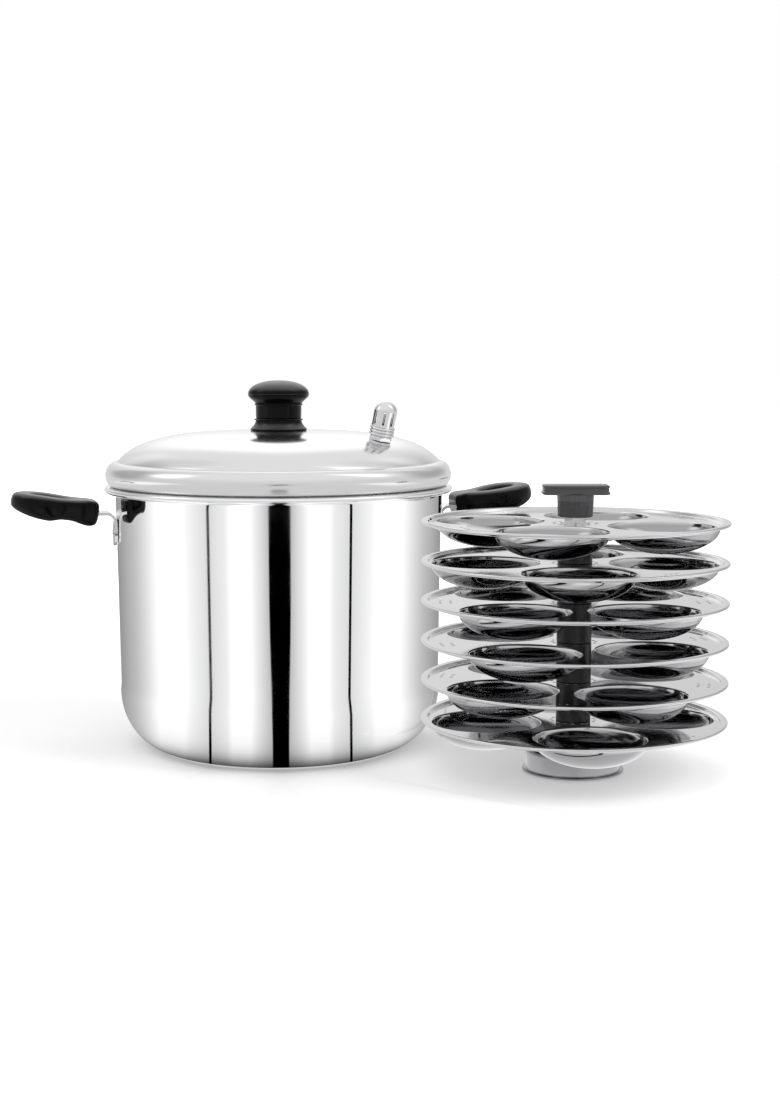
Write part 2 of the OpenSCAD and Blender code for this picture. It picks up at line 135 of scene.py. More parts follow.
def cos_sin(degrees: float) -> Pair:
    """Cosine and sine of an angle in degrees."""
    return math.cos(math.radians(degrees)), math.sin(math.radians(degrees))


def spun(r: Any, z: Any, a: Any) -> Array:
    """Points at radius r, height z and angle a round Z, in radians."""
    return np.stack(np.broadcast_arrays(r * np.cos(a), r * np.sin(a), z), -1)


def link_object(name: str, data: Any) -> bpy.types.Object:
    """Makes an object from its data and links it to the scene."""
    obj = bpy.data.objects.new(name, data)
    bpy.context.scene.collection.objects.link(obj)
    return obj


@dataclass
class Skin:
    """A surface as points in millimetres and faces of point numbers."""

    points: Array
    faces: list[tuple[int, ...]]

    @classmethod
    def grid(cls, points: Array, wrap_rows: bool = False, wrap_columns: bool = False) -> "Skin":
        """Quads over a grid of points.

        Args:
            points: Array of rows, columns and coordinates.
            wrap_rows: Whether the last row joins the first.
            wrap_columns: Whether the last column joins the first.

        Returns:
            The grid as a skin.
        """
        rows, columns = points.shape[:2]
        i = np.arange(rows if wrap_rows else rows - 1)[:, None]
        j = np.arange(columns if wrap_columns else columns - 1)[None, :]
        i2, j2 = (i + 1) % rows, (j + 1) % columns
        quads = np.stack([i * columns + j, i * columns + j2,
                          i2 * columns + j2, i2 * columns + j], -1)
        return cls(points.reshape(-1, 3), [tuple(q) for q in quads.reshape(-1, 4).tolist()])

    @classmethod
    def band(cls, first: Array, second: Array, closed: bool = False) -> "Skin":
        """Quads between two lines of points; a closed band joins its ends."""
        return cls.grid(np.stack([first, second], 1), closed)

    @classmethod
    def turned(cls, outline: Array, segments: int, closed: bool = False) -> "Skin":
        """A turned shape: each outline point (r, z) sweeps a circle round Z.

        Args:
            outline: Profile points, radius and height.
            segments: Steps round the axis.
            closed: Whether the outline's end joins its start.

        Returns:
            The surface (r cos a, r sin a, z).
        """
        a = np.linspace(0, 2 * np.pi, segments, endpoint=False)[:, None]
        return cls.grid(spun(*outline.T, a), wrap_rows=True, wrap_columns=closed)

    def joined(self, *others: "Skin") -> "Skin":
        """This skin and the others as one."""
        points, faces = [self.points], list(self.faces)
        count = len(self.points)
        for other in others:
            faces += [tuple(v + count for v in f) for f in other.faces]
            points.append(other.points)
            count += len(other.points)
        return Skin(np.concatenate(points), faces)

    def moved(self, turn: float = 0.0, shift: Sequence[float] = (0, 0, 0)) -> "Skin":
        """The skin turned round Z by degrees, then shifted by millimetres."""
        c, s = cos_sin(turn)
        return self.placed(np.array([[c, -s, 0], [s, c, 0], [0, 0, 1]]), shift)

    def placed(self, rotation: Array, shift: Sequence[float]) -> "Skin":
        """The skin turned by a rotation matrix, then shifted by millimetres."""
        return Skin(self.points @ rotation.T + np.asarray(shift, float), self.faces)

    def to_object(self, name: str, sharp: float = 38.0) -> bpy.types.Object:
        """Makes the Blender object, welded, facing outwards and shaded smooth.

        Args:
            name: Name of the object.
            sharp: Edges that turn more than this many degrees stay crisp.

        Returns:
            The linked object, at the origin.
        """
        mesh = bpy.data.meshes.new(name)
        mesh.from_pydata((self.points * MM).tolist(), [], self.faces)
        work = bmesh.new()
        work.from_mesh(mesh)
        bmesh.ops.remove_doubles(work, verts=work.verts, dist=WELD)
        bmesh.ops.dissolve_degenerate(work, edges=work.edges, dist=WELD / 2)
        bmesh.ops.recalc_face_normals(work, faces=work.faces)
        open_edges = sum(1 for e in work.edges if len(e.link_faces) != 2)
        work.to_mesh(mesh)
        work.free()
        mesh.polygons.foreach_set("use_smooth", np.ones(len(mesh.polygons), bool))
        mesh.set_sharp_from_angle(angle=math.radians(sharp))
        log.info("%s: %d faces, %d open edges", name, len(mesh.polygons), open_edges)
        return link_object(name, mesh)


# --------------------------------------------------------------- materials


def linear(code: str) -> tuple[float, float, float, float]:
    """An sRGB hex colour, such as 4c4c4e, as linear RGBA."""
    parts = [int(code[i:i + 2], 16) / 255 for i in (0, 2, 4)]
    rgb = [c / 12.92 if c <= 0.04045 else ((c + 0.055) / 1.055) ** 2.4 for c in parts]
    return (rgb[0], rgb[1], rgb[2], 1.0)


def add_node(tree: Tree, kind: str, settings: dict[str, Any] | None = None,
             values: dict[Any, Any] | None = None,
             links: dict[Any, Socket] | None = None) -> bpy.types.Node:
    """Adds a node to a tree.

    Args:
        tree: The node tree.
        kind: The node's type name.
        settings: Properties to set on the node.
        values: Constants for its input sockets.
        links: Output sockets to link into its input sockets.

    Returns:
        The new node.
    """
    node = tree.nodes.new(kind)
    for key, value in (settings or {}).items():
        setattr(node, key, value)
    for key, value in (values or {}).items():
        node.inputs[key].default_value = value
    for key, socket in (links or {}).items():
        tree.links.new(socket, node.inputs[key])
    return node


def new_tree(owner: bpy.types.Material | bpy.types.World) -> Tree:
    """Turns on the nodes of a material or world and empties its tree."""
    owner.use_nodes = True
    owner.node_tree.nodes.clear()
    return owner.node_tree


def noise(tree: Tree, place: Socket, scale: float, detail: float) -> Socket:
    """Fractal noise with about this many features to the metre."""
    return add_node(tree, "ShaderNodeTexNoise", values={"Scale": scale, "Detail": detail},
                    links={"Vector": place}).outputs["Fac"]


def remap(tree: Tree, value: Socket, source: Pair, target: Pair = (0.0, 1.0),
          smooth: bool = False) -> Socket:
    """Carries a value from one range to another and holds it past the ends.

    Args:
        tree: The node tree.
        value: The value.
        source: The range that it comes from.
        target: The range that it is carried to.
        smooth: Whether it eases in and out.

    Returns:
        The new value.
    """
    return add_node(tree, "ShaderNodeMapRange",
                    {"interpolation_type": "SMOOTHSTEP" if smooth else "LINEAR"},
                    {"From Min": source[0], "From Max": source[1],
                     "To Min": target[0], "To Max": target[1]},
                    {"Value": value}).outputs["Result"]


def maths(tree: Tree, operation: str, *inputs: float | Socket) -> Socket:
    """One arithmetic node. Each input is a number or another node's output."""
    numbers = {i: v for i, v in enumerate(inputs) if isinstance(v, float)}
    sockets = {i: v for i, v in enumerate(inputs) if i not in numbers}
    return add_node(tree, "ShaderNodeMath", {"operation": operation}, numbers, sockets).outputs[0]


def tinted(tree: Tree, share: Socket, first: str, second: str) -> Socket:
    """A blend from the first sRGB hex colour to the second."""
    return add_node(tree, "ShaderNodeMix", {"data_type": "RGBA"},
                    {6: linear(first), 7: linear(second)}, {0: share}).outputs[2]


def bumped(tree: Tree, height: Socket, strength: float, depth: float = FINE,
           normal: Socket | None = None) -> Socket:
    """The surface's normal under a height pattern that is depth metres deep."""
    links = {"Height": height} if normal is None else {"Height": height, "Normal": normal}
    return add_node(tree, "ShaderNodeBump", values={"Strength": strength, "Distance": depth},
                    links=links).outputs["Normal"]


@dataclass(frozen=True)
class Finish:
    """Base of every finish: a name, the record's slot and a shader."""

    name: str
    slot: str

    def shade(self, tree: Tree, place: Socket) -> dict[str, Any]:
        """Adds the pattern nodes and returns links for the main shader."""
        raise NotImplementedError

    def constants(self) -> dict[str, Any]:
        """Values that are the same all over the surface."""
        raise NotImplementedError

    def build(self) -> bpy.types.Material:
        """Makes the material, or returns it if it exists."""
        found = bpy.data.materials.get(self.name)
        if found:
            return found
        material = bpy.data.materials.new(self.name)
        tree = new_tree(material)
        place = add_node(tree, "ShaderNodeTexCoord").outputs["Object"]
        links = self.shade(tree, place)
        shader = add_node(tree, "ShaderNodeBsdfPrincipled", values=self.constants(), links=links)
        add_node(tree, "ShaderNodeOutputMaterial", links={"Surface": shader.outputs["BSDF"]})
        material.diffuse_color = self.constants()["Base Color"]
        return material


@dataclass(frozen=True)
class PolishedSteel(Finish):
    """Stainless steel, spun, pressed or turned and then buffed.

    Buffing leaves a bright metal with almost no colour of its own, hair-fine
    level rings, and a gloss that drifts a little from place to place.
    """

    colour: str = "f1f1f2"
    roughness: float = 0.04
    drift: float = 0.03
    drift_scale: float = 22.0
    ring_scale: float = 6.0
    line_mm: float = 0.9
    line_depth: float = 0.02
    wave_mm: float = 60.0
    wave_depth: float = 0.0

    def constants(self) -> dict[str, Any]:
        """Metal with the default index of refraction."""
        return {"Base Color": linear(self.colour), "Metallic": 1.0, "Roughness": self.roughness}

    def shade(self, tree: Tree, place: Socket) -> dict[str, Any]:
        """Gloss that drifts, level hair lines and, where asked for, long soft waves."""
        scale = (self.ring_scale, self.ring_scale, 1.0 / (self.line_mm * MM))
        stretched = add_node(tree, "ShaderNodeMapping", values={"Scale": scale},
                             links={"Vector": place}).outputs["Vector"]
        gloss = remap(tree, noise(tree, place, self.drift_scale, 3.0), (0.3, 0.7),
                      (max(self.roughness - self.drift / 2, 0.0), self.roughness + self.drift))
        normal = bumped(tree, noise(tree, stretched, 1.0, 2.0), self.line_depth)
        if self.wave_depth > 0:
            swell = noise(tree, place, 1.0 / (self.wave_mm * MM), 0.0)
            normal = bumped(tree, swell, 1.0, self.wave_depth * MM, normal)
        return {"Roughness": gloss, "Normal": normal}


@dataclass(frozen=True)
class PressedSteel(PolishedSteel):
    """Plate pressed from buffed sheet, its drawn cups painted a darker mirror as shade.

    The cups are given a darker colour than the flat round them: painted shade for the
    darker reflections in and under the cups. The plates are stacked at an even pitch,
    so the depth under the nearest flat tells a cup from a flat.
    """

    # Painted shade: the cups' colour, darker than the sheet, stands for the darker reflections in
    # and under them
    drawn: str = "a9a9ab"
    flat_z: float = 165.2
    pitch: float = 26.33
    lip: Pair = (1.1, 3.0)
    bottom: Pair = (19.0, 20.0)

    def shade(self, tree: Tree, place: Socket) -> dict[str, Any]:
        """The sheet's pattern, with the cups painted darker as shade."""
        links = super().shade(tree, place)
        z = add_node(tree, "ShaderNodeSeparateXYZ", links={0: place}).outputs["Z"]
        # Four more pitches keep the depth over 0 for the whole stack
        under = maths(tree, "SUBTRACT", (self.flat_z + 4 * self.pitch) * MM, z)
        depth = maths(tree, "MODULO", under, self.pitch * MM)
        deep = remap(tree, depth, (self.lip[0] * MM, self.lip[1] * MM))
        above = remap(tree, depth, (self.bottom[0] * MM, self.bottom[1] * MM), (1.0, 0.0))
        cup = maths(tree, "MULTIPLY", deep, above)
        # Painted shade: the cups take the darker colour
        return {**links, "Base Color": tinted(tree, cup, self.colour, self.drawn)}


@dataclass(frozen=True)
class MouldedPhenolic(Finish):
    """Black phenolic resin, compression moulded and tumbled glossy.

    It is a hard opaque black with a deep gloss. Its filler shows as a very fine
    unevenness in the highlights. The faces that look up are made satin and given a
    much higher gloss level, a painted highlight of the light from above; elsewhere the
    gloss level is kept very low, which paints the sides and undersides darker, as shade.
    """

    colour: str = "060607"
    roughness: float = 0.15
    # Very low gloss level: painted shade, the sides and undersides darker than the resin's own
    # reflection
    specular: float = 0.09
    top_roughness: float = 0.34
    # Gloss level of the up-facing faces: a painted highlight of the light from above
    painted_highlight_specular: float = 0.95
    # How far up a face must look to be satin and carry the painted highlight
    satin_and_highlight_from: Pair = (0.34, 0.90)
    drift: Pair = (-0.03, 0.06)
    drift_scale: float = 45.0
    grain_mm: float = 0.8
    grain_depth: float = 0.06

    def constants(self) -> dict[str, Any]:
        """A dense black resin."""
        return {"Base Color": linear(self.colour), "Metallic": 0.0,
                "Roughness": self.roughness, "IOR": 1.6, "Specular IOR Level": self.specular}

    def shade(self, tree: Tree, place: Socket) -> dict[str, Any]:
        """Filler grain all over; where the surface looks up, satin and a painted highlight."""
        facing = add_node(tree, "ShaderNodeNewGeometry").outputs["Normal"]
        up = add_node(tree, "ShaderNodeSeparateXYZ", links={0: facing}).outputs["Z"]
        satin_and_highlight = remap(tree, up, self.satin_and_highlight_from, smooth=True)
        # Painted highlight and shade: the gloss level rises on up-facing faces, so tops look lit and
        # the rest stays dark
        level = remap(tree, satin_and_highlight, (0.0, 1.0), (self.specular, self.painted_highlight_specular))
        rough = remap(tree, satin_and_highlight, (0.0, 1.0), (self.roughness, self.top_roughness))
        drift = remap(tree, noise(tree, place, self.drift_scale, 2.0), (0.35, 0.65), self.drift)
        grain = noise(tree, place, 1.0 / (self.grain_mm * MM), 3.0)
        return {"Roughness": maths(tree, "ADD", drift, rough),
                "Normal": bumped(tree, grain, self.grain_depth), "Specular IOR Level": level}


@dataclass(frozen=True)
class MouldedPlastic(Finish):
    """Dark grey polypropylene, injection moulded against a fine eroded tool.

    The tool leaves a satin skin: soft broad highlights with a fine grain.
    """

    colour: str = "454547"
    dark: str = "3f3f41"
    light: str = "4b4b4d"
    roughness: float = 0.30
    grain_mm: float = 0.5
    grain_depth: float = 0.15

    def constants(self) -> dict[str, Any]:
        """A satin plastic."""
        return {"Base Color": linear(self.colour), "Metallic": 0.0,
                "Roughness": self.roughness, "IOR": 1.49}

    def shade(self, tree: Tree, place: Socket) -> dict[str, Any]:
        """Grain of the tool, in colour and surface."""
        grain = noise(tree, place, 1.0 / (self.grain_mm * MM), 4.0)
        return {"Base Color": tinted(tree, grain, self.dark, self.light),
                "Normal": bumped(tree, grain, self.grain_depth)}


MIRROR_SHEET = PolishedSteel("Stainless sheet, mirror buffed", "polished_steel")
LID_SHEET = PolishedSteel("Stainless sheet, satin buffed", "polished_steel",
                          colour="e5e5e6", roughness=0.15, drift=0.04)
PLATE_SHEET = PressedSteel("Stainless sheet, pressed and buffed", "plate_steel",
                           colour="d6d6d6", roughness=0.07, drift=0.04, line_mm=1.4,
                           wave_mm=34.0, wave_depth=0.25)
FOOT_SHEET = PolishedSteel("Stainless sheet, pressed and brushed", "plate_steel",
                           colour="9c9c9e", roughness=0.22, drift=0.06, line_mm=0.7,
                           line_depth=0.10)
FITTING_STEEL = PolishedSteel("Steel fittings, bright drawn", "fitting_steel",
                              colour="dcdcdc", roughness=0.18, drift=0.06, line_mm=0.5,
                              line_depth=0.12)
TURNED_STEEL = PolishedSteel("Stainless bar, turned and polished", "vent_steel",
                             colour="e4e4e5", roughness=0.08, line_mm=0.3, line_depth=0.08)
PHENOLIC = MouldedPhenolic("Black phenolic, moulded glossy", "black_bakelite")
GREY_PLASTIC = MouldedPlastic("Grey polypropylene, satin moulded", "grey_plastic")


def dress(obj: bpy.types.Object, finish: Finish) -> bpy.types.Object:
    """Gives an object one finish, whatever slots it has."""
    material = finish.build()
    if not obj.data.materials:
        obj.data.materials.append(material)
    for index in range(len(obj.material_slots)):
        obj.material_slots[index].material = material
    return obj


def fit(piece: bpy.types.Object, body: str, finish: Finish, *nodes: str) -> bpy.types.Object:
    """Dresses a piece, makes it ride on a body and stand for its CAD nodes.

    Args:
        piece: The finished piece.
        body: The body that it moves with.
        finish: Its finish.
        *nodes: The CAD nodes that it replaces.

    Returns:
        The piece.
    """
    dress(piece, finish)
    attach(piece, body)
    if nodes:
        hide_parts(*nodes)
    return piece


def keep(node: str, finish: Finish) -> None:
    """Keeps a CAD node as it is and gives it a finish."""
    dress(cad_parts[node], finish)
    log.info("%s: kept, %s", node, finish.name)


# --------------------------------------------------------------------- pot


@dataclass
class Pot:
    """The pot's body: one spun sheet with a rolled rim."""

    base_r: float = 78.0
    wall_low_r: float = 112.5
    wall_top_r: float = 114.6
    corner_h: float = 42.0
    height: float = 184.5
    thickness: float = 1.2
    rim_r: float = 121.8
    bead_r: float = 2.2
    flare_r: float = 1.0

    @property
    def ledge(self) -> float:
        """Height of the flat ledge inside the rim bead."""
        return self.height - 3.15

    def outline(self) -> Array:
        """Outer face from the base's centre up, round the bead and down the inside."""
        t, f = self.thickness, self.flare_r
        flare = (self.wall_top_r + f, self.ledge - t - f)
        bead = (self.rim_r - self.bead_r, self.height - self.bead_r)
        low = self.ledge - t
        start = math.degrees(math.asin((low + 0.02 - bead[1]) / self.bead_r))
        stop = 180 - math.degrees(math.asin((self.ledge - bead[1]) / self.bead_r))
        return np.concatenate([
            [[0, 0], [self.base_r - 14, 0]],
            arc((self.base_r, self.corner_h), self.wall_low_r - self.base_r, self.corner_h,
                -90, 0, 40),
            np.linspace([self.wall_low_r, self.corner_h + 4],
                        [self.wall_top_r, flare[1] - 3], 12),
            arc(flare, f, f, 180, 90, 8),
            arc(bead, self.bead_r, self.bead_r, start, stop, 36),
            arc(flare, f + t, f + t, 90, 180, 10),
            np.linspace([self.wall_top_r - t, flare[1] - 3],
                        [self.wall_low_r - t, self.corner_h + 4], 12),
            arc((self.base_r, self.corner_h), self.wall_low_r - self.base_r - t,
                self.corner_h - t, 0, -90, 40),
            [[self.base_r - 14, t], [0, t]]])

    def build(self) -> None:
        """Builds the pot's body."""
        body = Skin.turned(self.outline(), 288).to_object("Pot_body")
        fit(body, "pot", MIRROR_SHEET, "pot_body")


class Side(Enum):
    """The two sides of the pot that carry a handle, as a turn round Z."""

    RIGHT = 0
    LEFT = 180


@dataclass
class SideHandle:
    """One moulded handle with its steel strap.

    In its own frame x runs out from the pot's axis and z up from the middle line.
    """

    side: Side
    inner: float = 127.0
    eye: float = 161.0
    end_r: float = 25.0
    root: float = 13.0
    root_round: float = 4.0
    eye_a: float = 12.5
    eye_b: float = 11.0
    level: float = 167.0
    tilt: float = 10.0
    top: Pair = (8.8, 7.4)
    top_fade: float = 26.0
    top_fall: float = 1.7
    under: Pair = (9.0, 6.9)
    under_from: float = 133.0
    under_fade: float = 14.0
    grip: float = 1.9
    grip_from: float = 151.0
    grip_fade: float = 10.0
    tip_rise: float = 4.2
    side_power: Pair = (0.62, 0.35)
    top_power: float = 0.55
    root_reach: float = 12.0
    mould_line: float = 0.3
    mould_wide: float = 3.2
    strap_w: float = 20.0
    strap_t: float = 2.0
    tab_in: float = 114.65
    tab_low: float = 144.0
    tab_bow: float = 0.92
    bend_r: float = 5.0
    tang_end: float = 143.0
    weld_at: Pair = (4.2, 9.0)
    weld_r: float = 2.6
    weld_deep: float = 0.45

    def half_width(self, x: Array) -> Array:
        """Half width of the outline at x: a round end, a smooth waist, a soft corner."""
        end = np.sqrt(np.maximum(self.end_r ** 2 - (x - self.eye) ** 2, 0))
        near = self.inner + self.root_round
        corner = self.root - self.root_round + np.sqrt(
            np.maximum(self.root_round ** 2 - (near - x) ** 2, 0))
        waist = mix(self.root, self.end_r, smoothstep((x - near) / (self.eye - near)))
        return np.where(x > self.eye, end, np.where(x < near, corner, waist))

    def upper(self, x: Array) -> Array:
        """Height of the top face over the middle line, falling towards the end."""
        return (mix(*self.top, smoothstep((x - self.inner) / self.top_fade))
                - self.top_fall * (np.maximum(x - self.eye, 0) / self.end_r) ** 2)

    def lower(self, x: Array) -> Array:
        """Height of the underside: deep root, finger notch, rising tip."""
        notch = -mix(*self.under, smoothstep((x - self.under_from) / self.under_fade))
        return (notch - self.grip * smoothstep((x - self.grip_from) / self.grip_fade)
                + self.tip_rise * (np.maximum(x - self.eye, 0) / self.end_r) ** 2)

    def skin(self, around: int = 168, section: int = 64) -> Skin:
        """The handle's surface.

        Step i runs round the finger hole and step j round the section there. A
        section point lies between the hole's edge and the outline by
        (1 + sign(cos v)|cos v|^p)/2, and its height is the top or underside
        times |sin v|^t, so sections are rounded boxes. A fine raised line runs
        round the outer edge, where the two halves of the mould met.
        """
        q = 360 * np.arange(around) / around
        s = np.where(q <= 180, 1.0, -1.0)
        a = np.where(q <= 180, q, 360 - q)
        x_side = mix(self.eye, self.inner,
                     1 - np.maximum(np.cos(np.radians((np.clip(a, 90, 150) - 90) * 1.5)), 0) ** 1.2)
        x = np.select([a <= 90, a <= 150],
                      [self.eye + self.end_r * np.cos(np.radians(a)), x_side], self.inner)
        y = np.select([a <= 90, a <= 150],
                      [self.end_r * np.sin(np.radians(a)), self.half_width(x_side)],
                      self.half_width(np.array(self.inner)) * (180 - a) / 30) * s
        outer = np.stack([x, y], -1)[:, None, :]
        hole = arc((self.eye, 0), self.eye_a, self.eye_b, 0, 360, around + 1)[:-1, None, :]
        v = np.radians(360 * np.arange(section) / section)[None, :]
        root = smoothstep((self.inner + self.root_reach - x) / self.root_reach)[:, None]
        power = mix(*self.side_power, root)
        k = (1 + np.sign(np.cos(v)) * np.abs(np.cos(v)) ** power) / 2
        p = hole + (outer - hole) * k[..., None]
        rise = np.sign(np.sin(v)) * np.abs(np.sin(v)) ** self.top_power + 0 * k
        z = np.where(rise >= 0, rise * self.upper(p[..., 0]), -rise * self.lower(p[..., 0]))
        away = (outer - hole) / np.linalg.norm(outer - hole, axis=-1, keepdims=True)
        seam = self.mould_line * np.exp(
            -(np.degrees(np.arctan2(np.sin(v), np.cos(v))) / self.mould_wide) ** 2)
        p = p + away * seam[..., None]
        return Skin.grid(np.concatenate([p, z[..., None]], -1), True, True)

    def out(self, skin: Skin) -> Skin:
        """Moves a skin from the handle's own frame to the pot's, on its side."""
        c, s = cos_sin(self.tilt)
        rotation = np.array([[c, 0, -s], [0, 1, 0], [s, 0, c]])
        start = np.array([self.inner, 0, 0])
        shift = start + [0, 0, self.level]
        return Skin(skin.points - start, skin.faces).placed(rotation, shift).moved(self.side.value)

    def strap(self) -> Skin:
        """The bent strap: a tab curved to the wall, a bend and a flat tang.

        The middle line runs up the wall, round the bend and out along the
        handle's slope. Across the strap the tab follows the wall's circle and
        the tang is flat. The tab's lower end is half round, and its outer face
        has two slight dents where it is spot-welded to the wall.
        """
        t, w = self.strap_t, self.strap_w / 2
        slope = np.array(cos_sin(self.tilt))
        r_in = self.tab_in + t / 2
        bend_r = self.bend_r + t / 2
        centre = (r_in + bend_r, self.level - bend_r)
        start = np.array([self.inner, self.level])
        path = np.concatenate([
            np.stack([np.full(18, r_in), np.linspace(self.tab_low, centre[1] - 0.5, 18)], -1),
            arc(centre, bend_r, bend_r, 180, 96, 12),
            [start, start + slope * (self.tang_end - self.inner)]])
        side = left_of(path)
        drop = (path[:, 1] - self.tab_low)[:, None]
        width = np.where(drop < w, np.sqrt(np.maximum(w ** 2 - (w - drop) ** 2, 0.0)), w)
        y = np.linspace(-1, 1, 25)[None, :] * width
        curl = 1 - smoothstep((path[:, 1] - (self.level - 12)) / 10)[:, None]
        bow = (np.sqrt(self.tab_in ** 2 - y ** 2) - self.tab_in) * self.tab_bow
        across, up = self.weld_at
        weld = sum(self.weld_deep * np.exp(-((y - c) ** 2 + (drop - up) ** 2) / self.weld_r ** 2)
                   for c in (-across, across))
        faces = []
        for sign, dent in ((1, 0 * y), (-1, weld)):
            middle = path + sign * side * t / 2
            x = middle[:, :1] + (bow - dent) * curl
            faces.append(np.stack(np.broadcast_arrays(x, y, middle[:, 1:]), -1))
        top, bottom = faces
        rim = [Skin.band(top[:, k], bottom[:, k]) for k in (0, -1)]
        ends = [Skin.band(top[k], bottom[k]) for k in (0, -1)]
        return Skin.grid(top).joined(Skin.grid(bottom), *rim, *ends).moved(self.side.value)

    def build(self) -> None:
        """Builds the handle and its strap."""
        name = self.side.name.lower()
        handle = self.out(self.skin()).to_object(f"Handle_{name}", sharp=60)
        fit(handle, "pot", PHENOLIC, f"handle_{name}")
        strap = self.strap().to_object(f"Strap_{name}")
        edge = strap.modifiers.new("Edge", "BEVEL")
        edge.width, edge.segments, edge.limit_method = 0.3 * MM, 2, "ANGLE"
        fit(strap, "pot", FITTING_STEEL, f"handle_bracket_{name}")


# --------------------------------------------------------------------- lid


@dataclass
class Lid:
    """The domed lid with its rounded ring, and the knob screwed through it."""

    pot: Pot
    crown: float = 222.5
    dome_a: float = 121.0
    dome_p: float = 3.6
    crease_r: float = 112.2
    crease_h: float = 20.65
    ring_r: float = 121.0
    ring_b: float = 8.6
    ring_at: Pair = (113.4, 10.95)
    neck_gap: float = 0.3
    fold_r: float = 0.5
    skirt_gap: float = 0.7
    skirt_bend: float = 3.0
    skirt_h: float = 8.85
    thickness: float = 1.0
    seat_r: float = 21.0
    knob_h: float = 35.0
    knob_r: float = 21.3
    knob_neck_r: float = 16.0
    knob_neck: float = 0.545
    knob_wide: float = 0.73
    base_r: float = 19.0
    base_edge: float = 0.9
    collar_r: float = 17.5
    collar: float = 8.4

    @property
    def crease_z(self) -> float:
        """Height of the crease between dome and ring."""
        return self.pot.ledge + self.crease_h

    def dome(self, r: Array) -> Array:
        """Height of the dome's outer face at radius r: a superellipse."""
        def fall(x: Any) -> Any:
            """How far the superellipse has come down at x, as a share."""
            return 1 - (1 - (x / self.dome_a) ** self.dome_p) ** (1 / self.dome_p)
        return self.crown - (self.crown - self.crease_z) * fall(r) / fall(self.crease_r)

    def outline(self) -> Array:
        """Dome, ring, neck, fold and skirt as one sheet, as a closed loop."""
        t2, ledge = self.thickness / 2, self.pot.ledge
        neck = self.pot.rim_r - 2 * self.pot.bead_r - self.neck_gap - t2
        skirt = self.pot.wall_top_r - self.pot.thickness - self.skirt_gap - t2
        f, b, ring_x = self.fold_r, self.skirt_bend, self.ring_at[0]
        r = self.seat_r + (self.crease_r - 0.8 - self.seat_r) * np.sin(
            np.radians(np.linspace(4, 90, 34)))
        dome = np.stack([r, self.dome(r) - t2], -1)
        ring = arc((ring_x, ledge + self.ring_at[1]), self.ring_r - t2 - ring_x, self.ring_b,
                   82, -50, 30)
        crease = rounded([dome[-1], [self.crease_r + 0.2, self.crease_z - t2 - 0.4], ring[0]],
                         0.5, 7)[1:-1]
        path = np.concatenate([
            [[0, self.crown - t2], [self.seat_r - 2, self.crown - t2]], dome, crease, ring,
            [[neck + 0.25, ledge + 3.4], [neck, ledge + 2.2]],
            arc((neck - f, ledge + t2 + f), f, f, 0, -90, 5),
            arc((skirt + b, ledge + t2 - b), b, b, 90, 180, 10),
            [[skirt, ledge - 4], [skirt, ledge - self.skirt_h]]])
        return sheet(path, self.thickness)

    def knob_outline(self) -> Array:
        """Mushroom cap on a waisted neck, with the mould's fine line at the widest."""
        neck, wide = self.knob_h * self.knob_neck, self.knob_h * self.knob_wide
        r, n, low = self.knob_r, self.knob_neck_r, self.collar
        k = np.linspace(0, 1, 26)
        flank = np.stack([mix(n + 0.3, r, np.sin(k * math.pi / 2) ** 1.35),
                          mix(neck, wide - 0.5, k)], -1)
        line = [[r + 0.12, wide - 0.25], [r + 0.22, wide], [r + 0.05, wide + 0.2]]
        cap = arc((0, wide + 0.2), r, self.knob_h - wide - 0.2, 0, 90, 34)
        cap[:, 0] = r * (cap[:, 0] / r) ** 0.93
        foot = rounded([[0, low], [n - 0.6, low], [n - 0.1, low + 0.5], [n, neck - 1.6],
                        [n + 0.9, neck - 1.1], [n + 0.9, neck - 0.5], flank[0]], 0.35, 4)
        return np.concatenate([foot, flank[1:], line, cap[1:]])

    def base_outline(self) -> Array:
        """Flared skirt with a thin sharp collar on top."""
        c, e, top = self.collar_r, self.base_edge, self.collar
        k = np.linspace(0, 1, 18)
        flare = np.stack([mix(self.base_r + e / 2, self.knob_neck_r + 0.2,
                              np.sin(k * math.pi / 2)), mix(1.7, top - 1.2, k)], -1)
        collar = rounded([flare[-1], [c - 0.05, top - 0.9], [c, top - 0.35], [c - 0.9, top],
                          [0, top]], 0.2, 4)
        return np.concatenate([[[0, 0], [self.base_r + 0.2, 0]],
                               arc((self.base_r, e), e, e, -80, 60, 10), flare, collar[1:]])

    def build(self) -> None:
        """Builds the shell and the knob, and keeps the screw under them."""
        shell = Skin.turned(self.outline(), 288).to_object("Lid_shell")
        fit(shell, "lid", LID_SHEET, "lid_shell")
        for name, outline in (("Lid_knob", self.knob_outline()), ("Knob_base", self.base_outline())):
            piece = Skin.turned(outline, 128).moved(0, (0, 0, self.crown)).to_object(name)
            fit(piece, "lid", PHENOLIC, name.lower())
        keep("knob_screw", FITTING_STEEL)


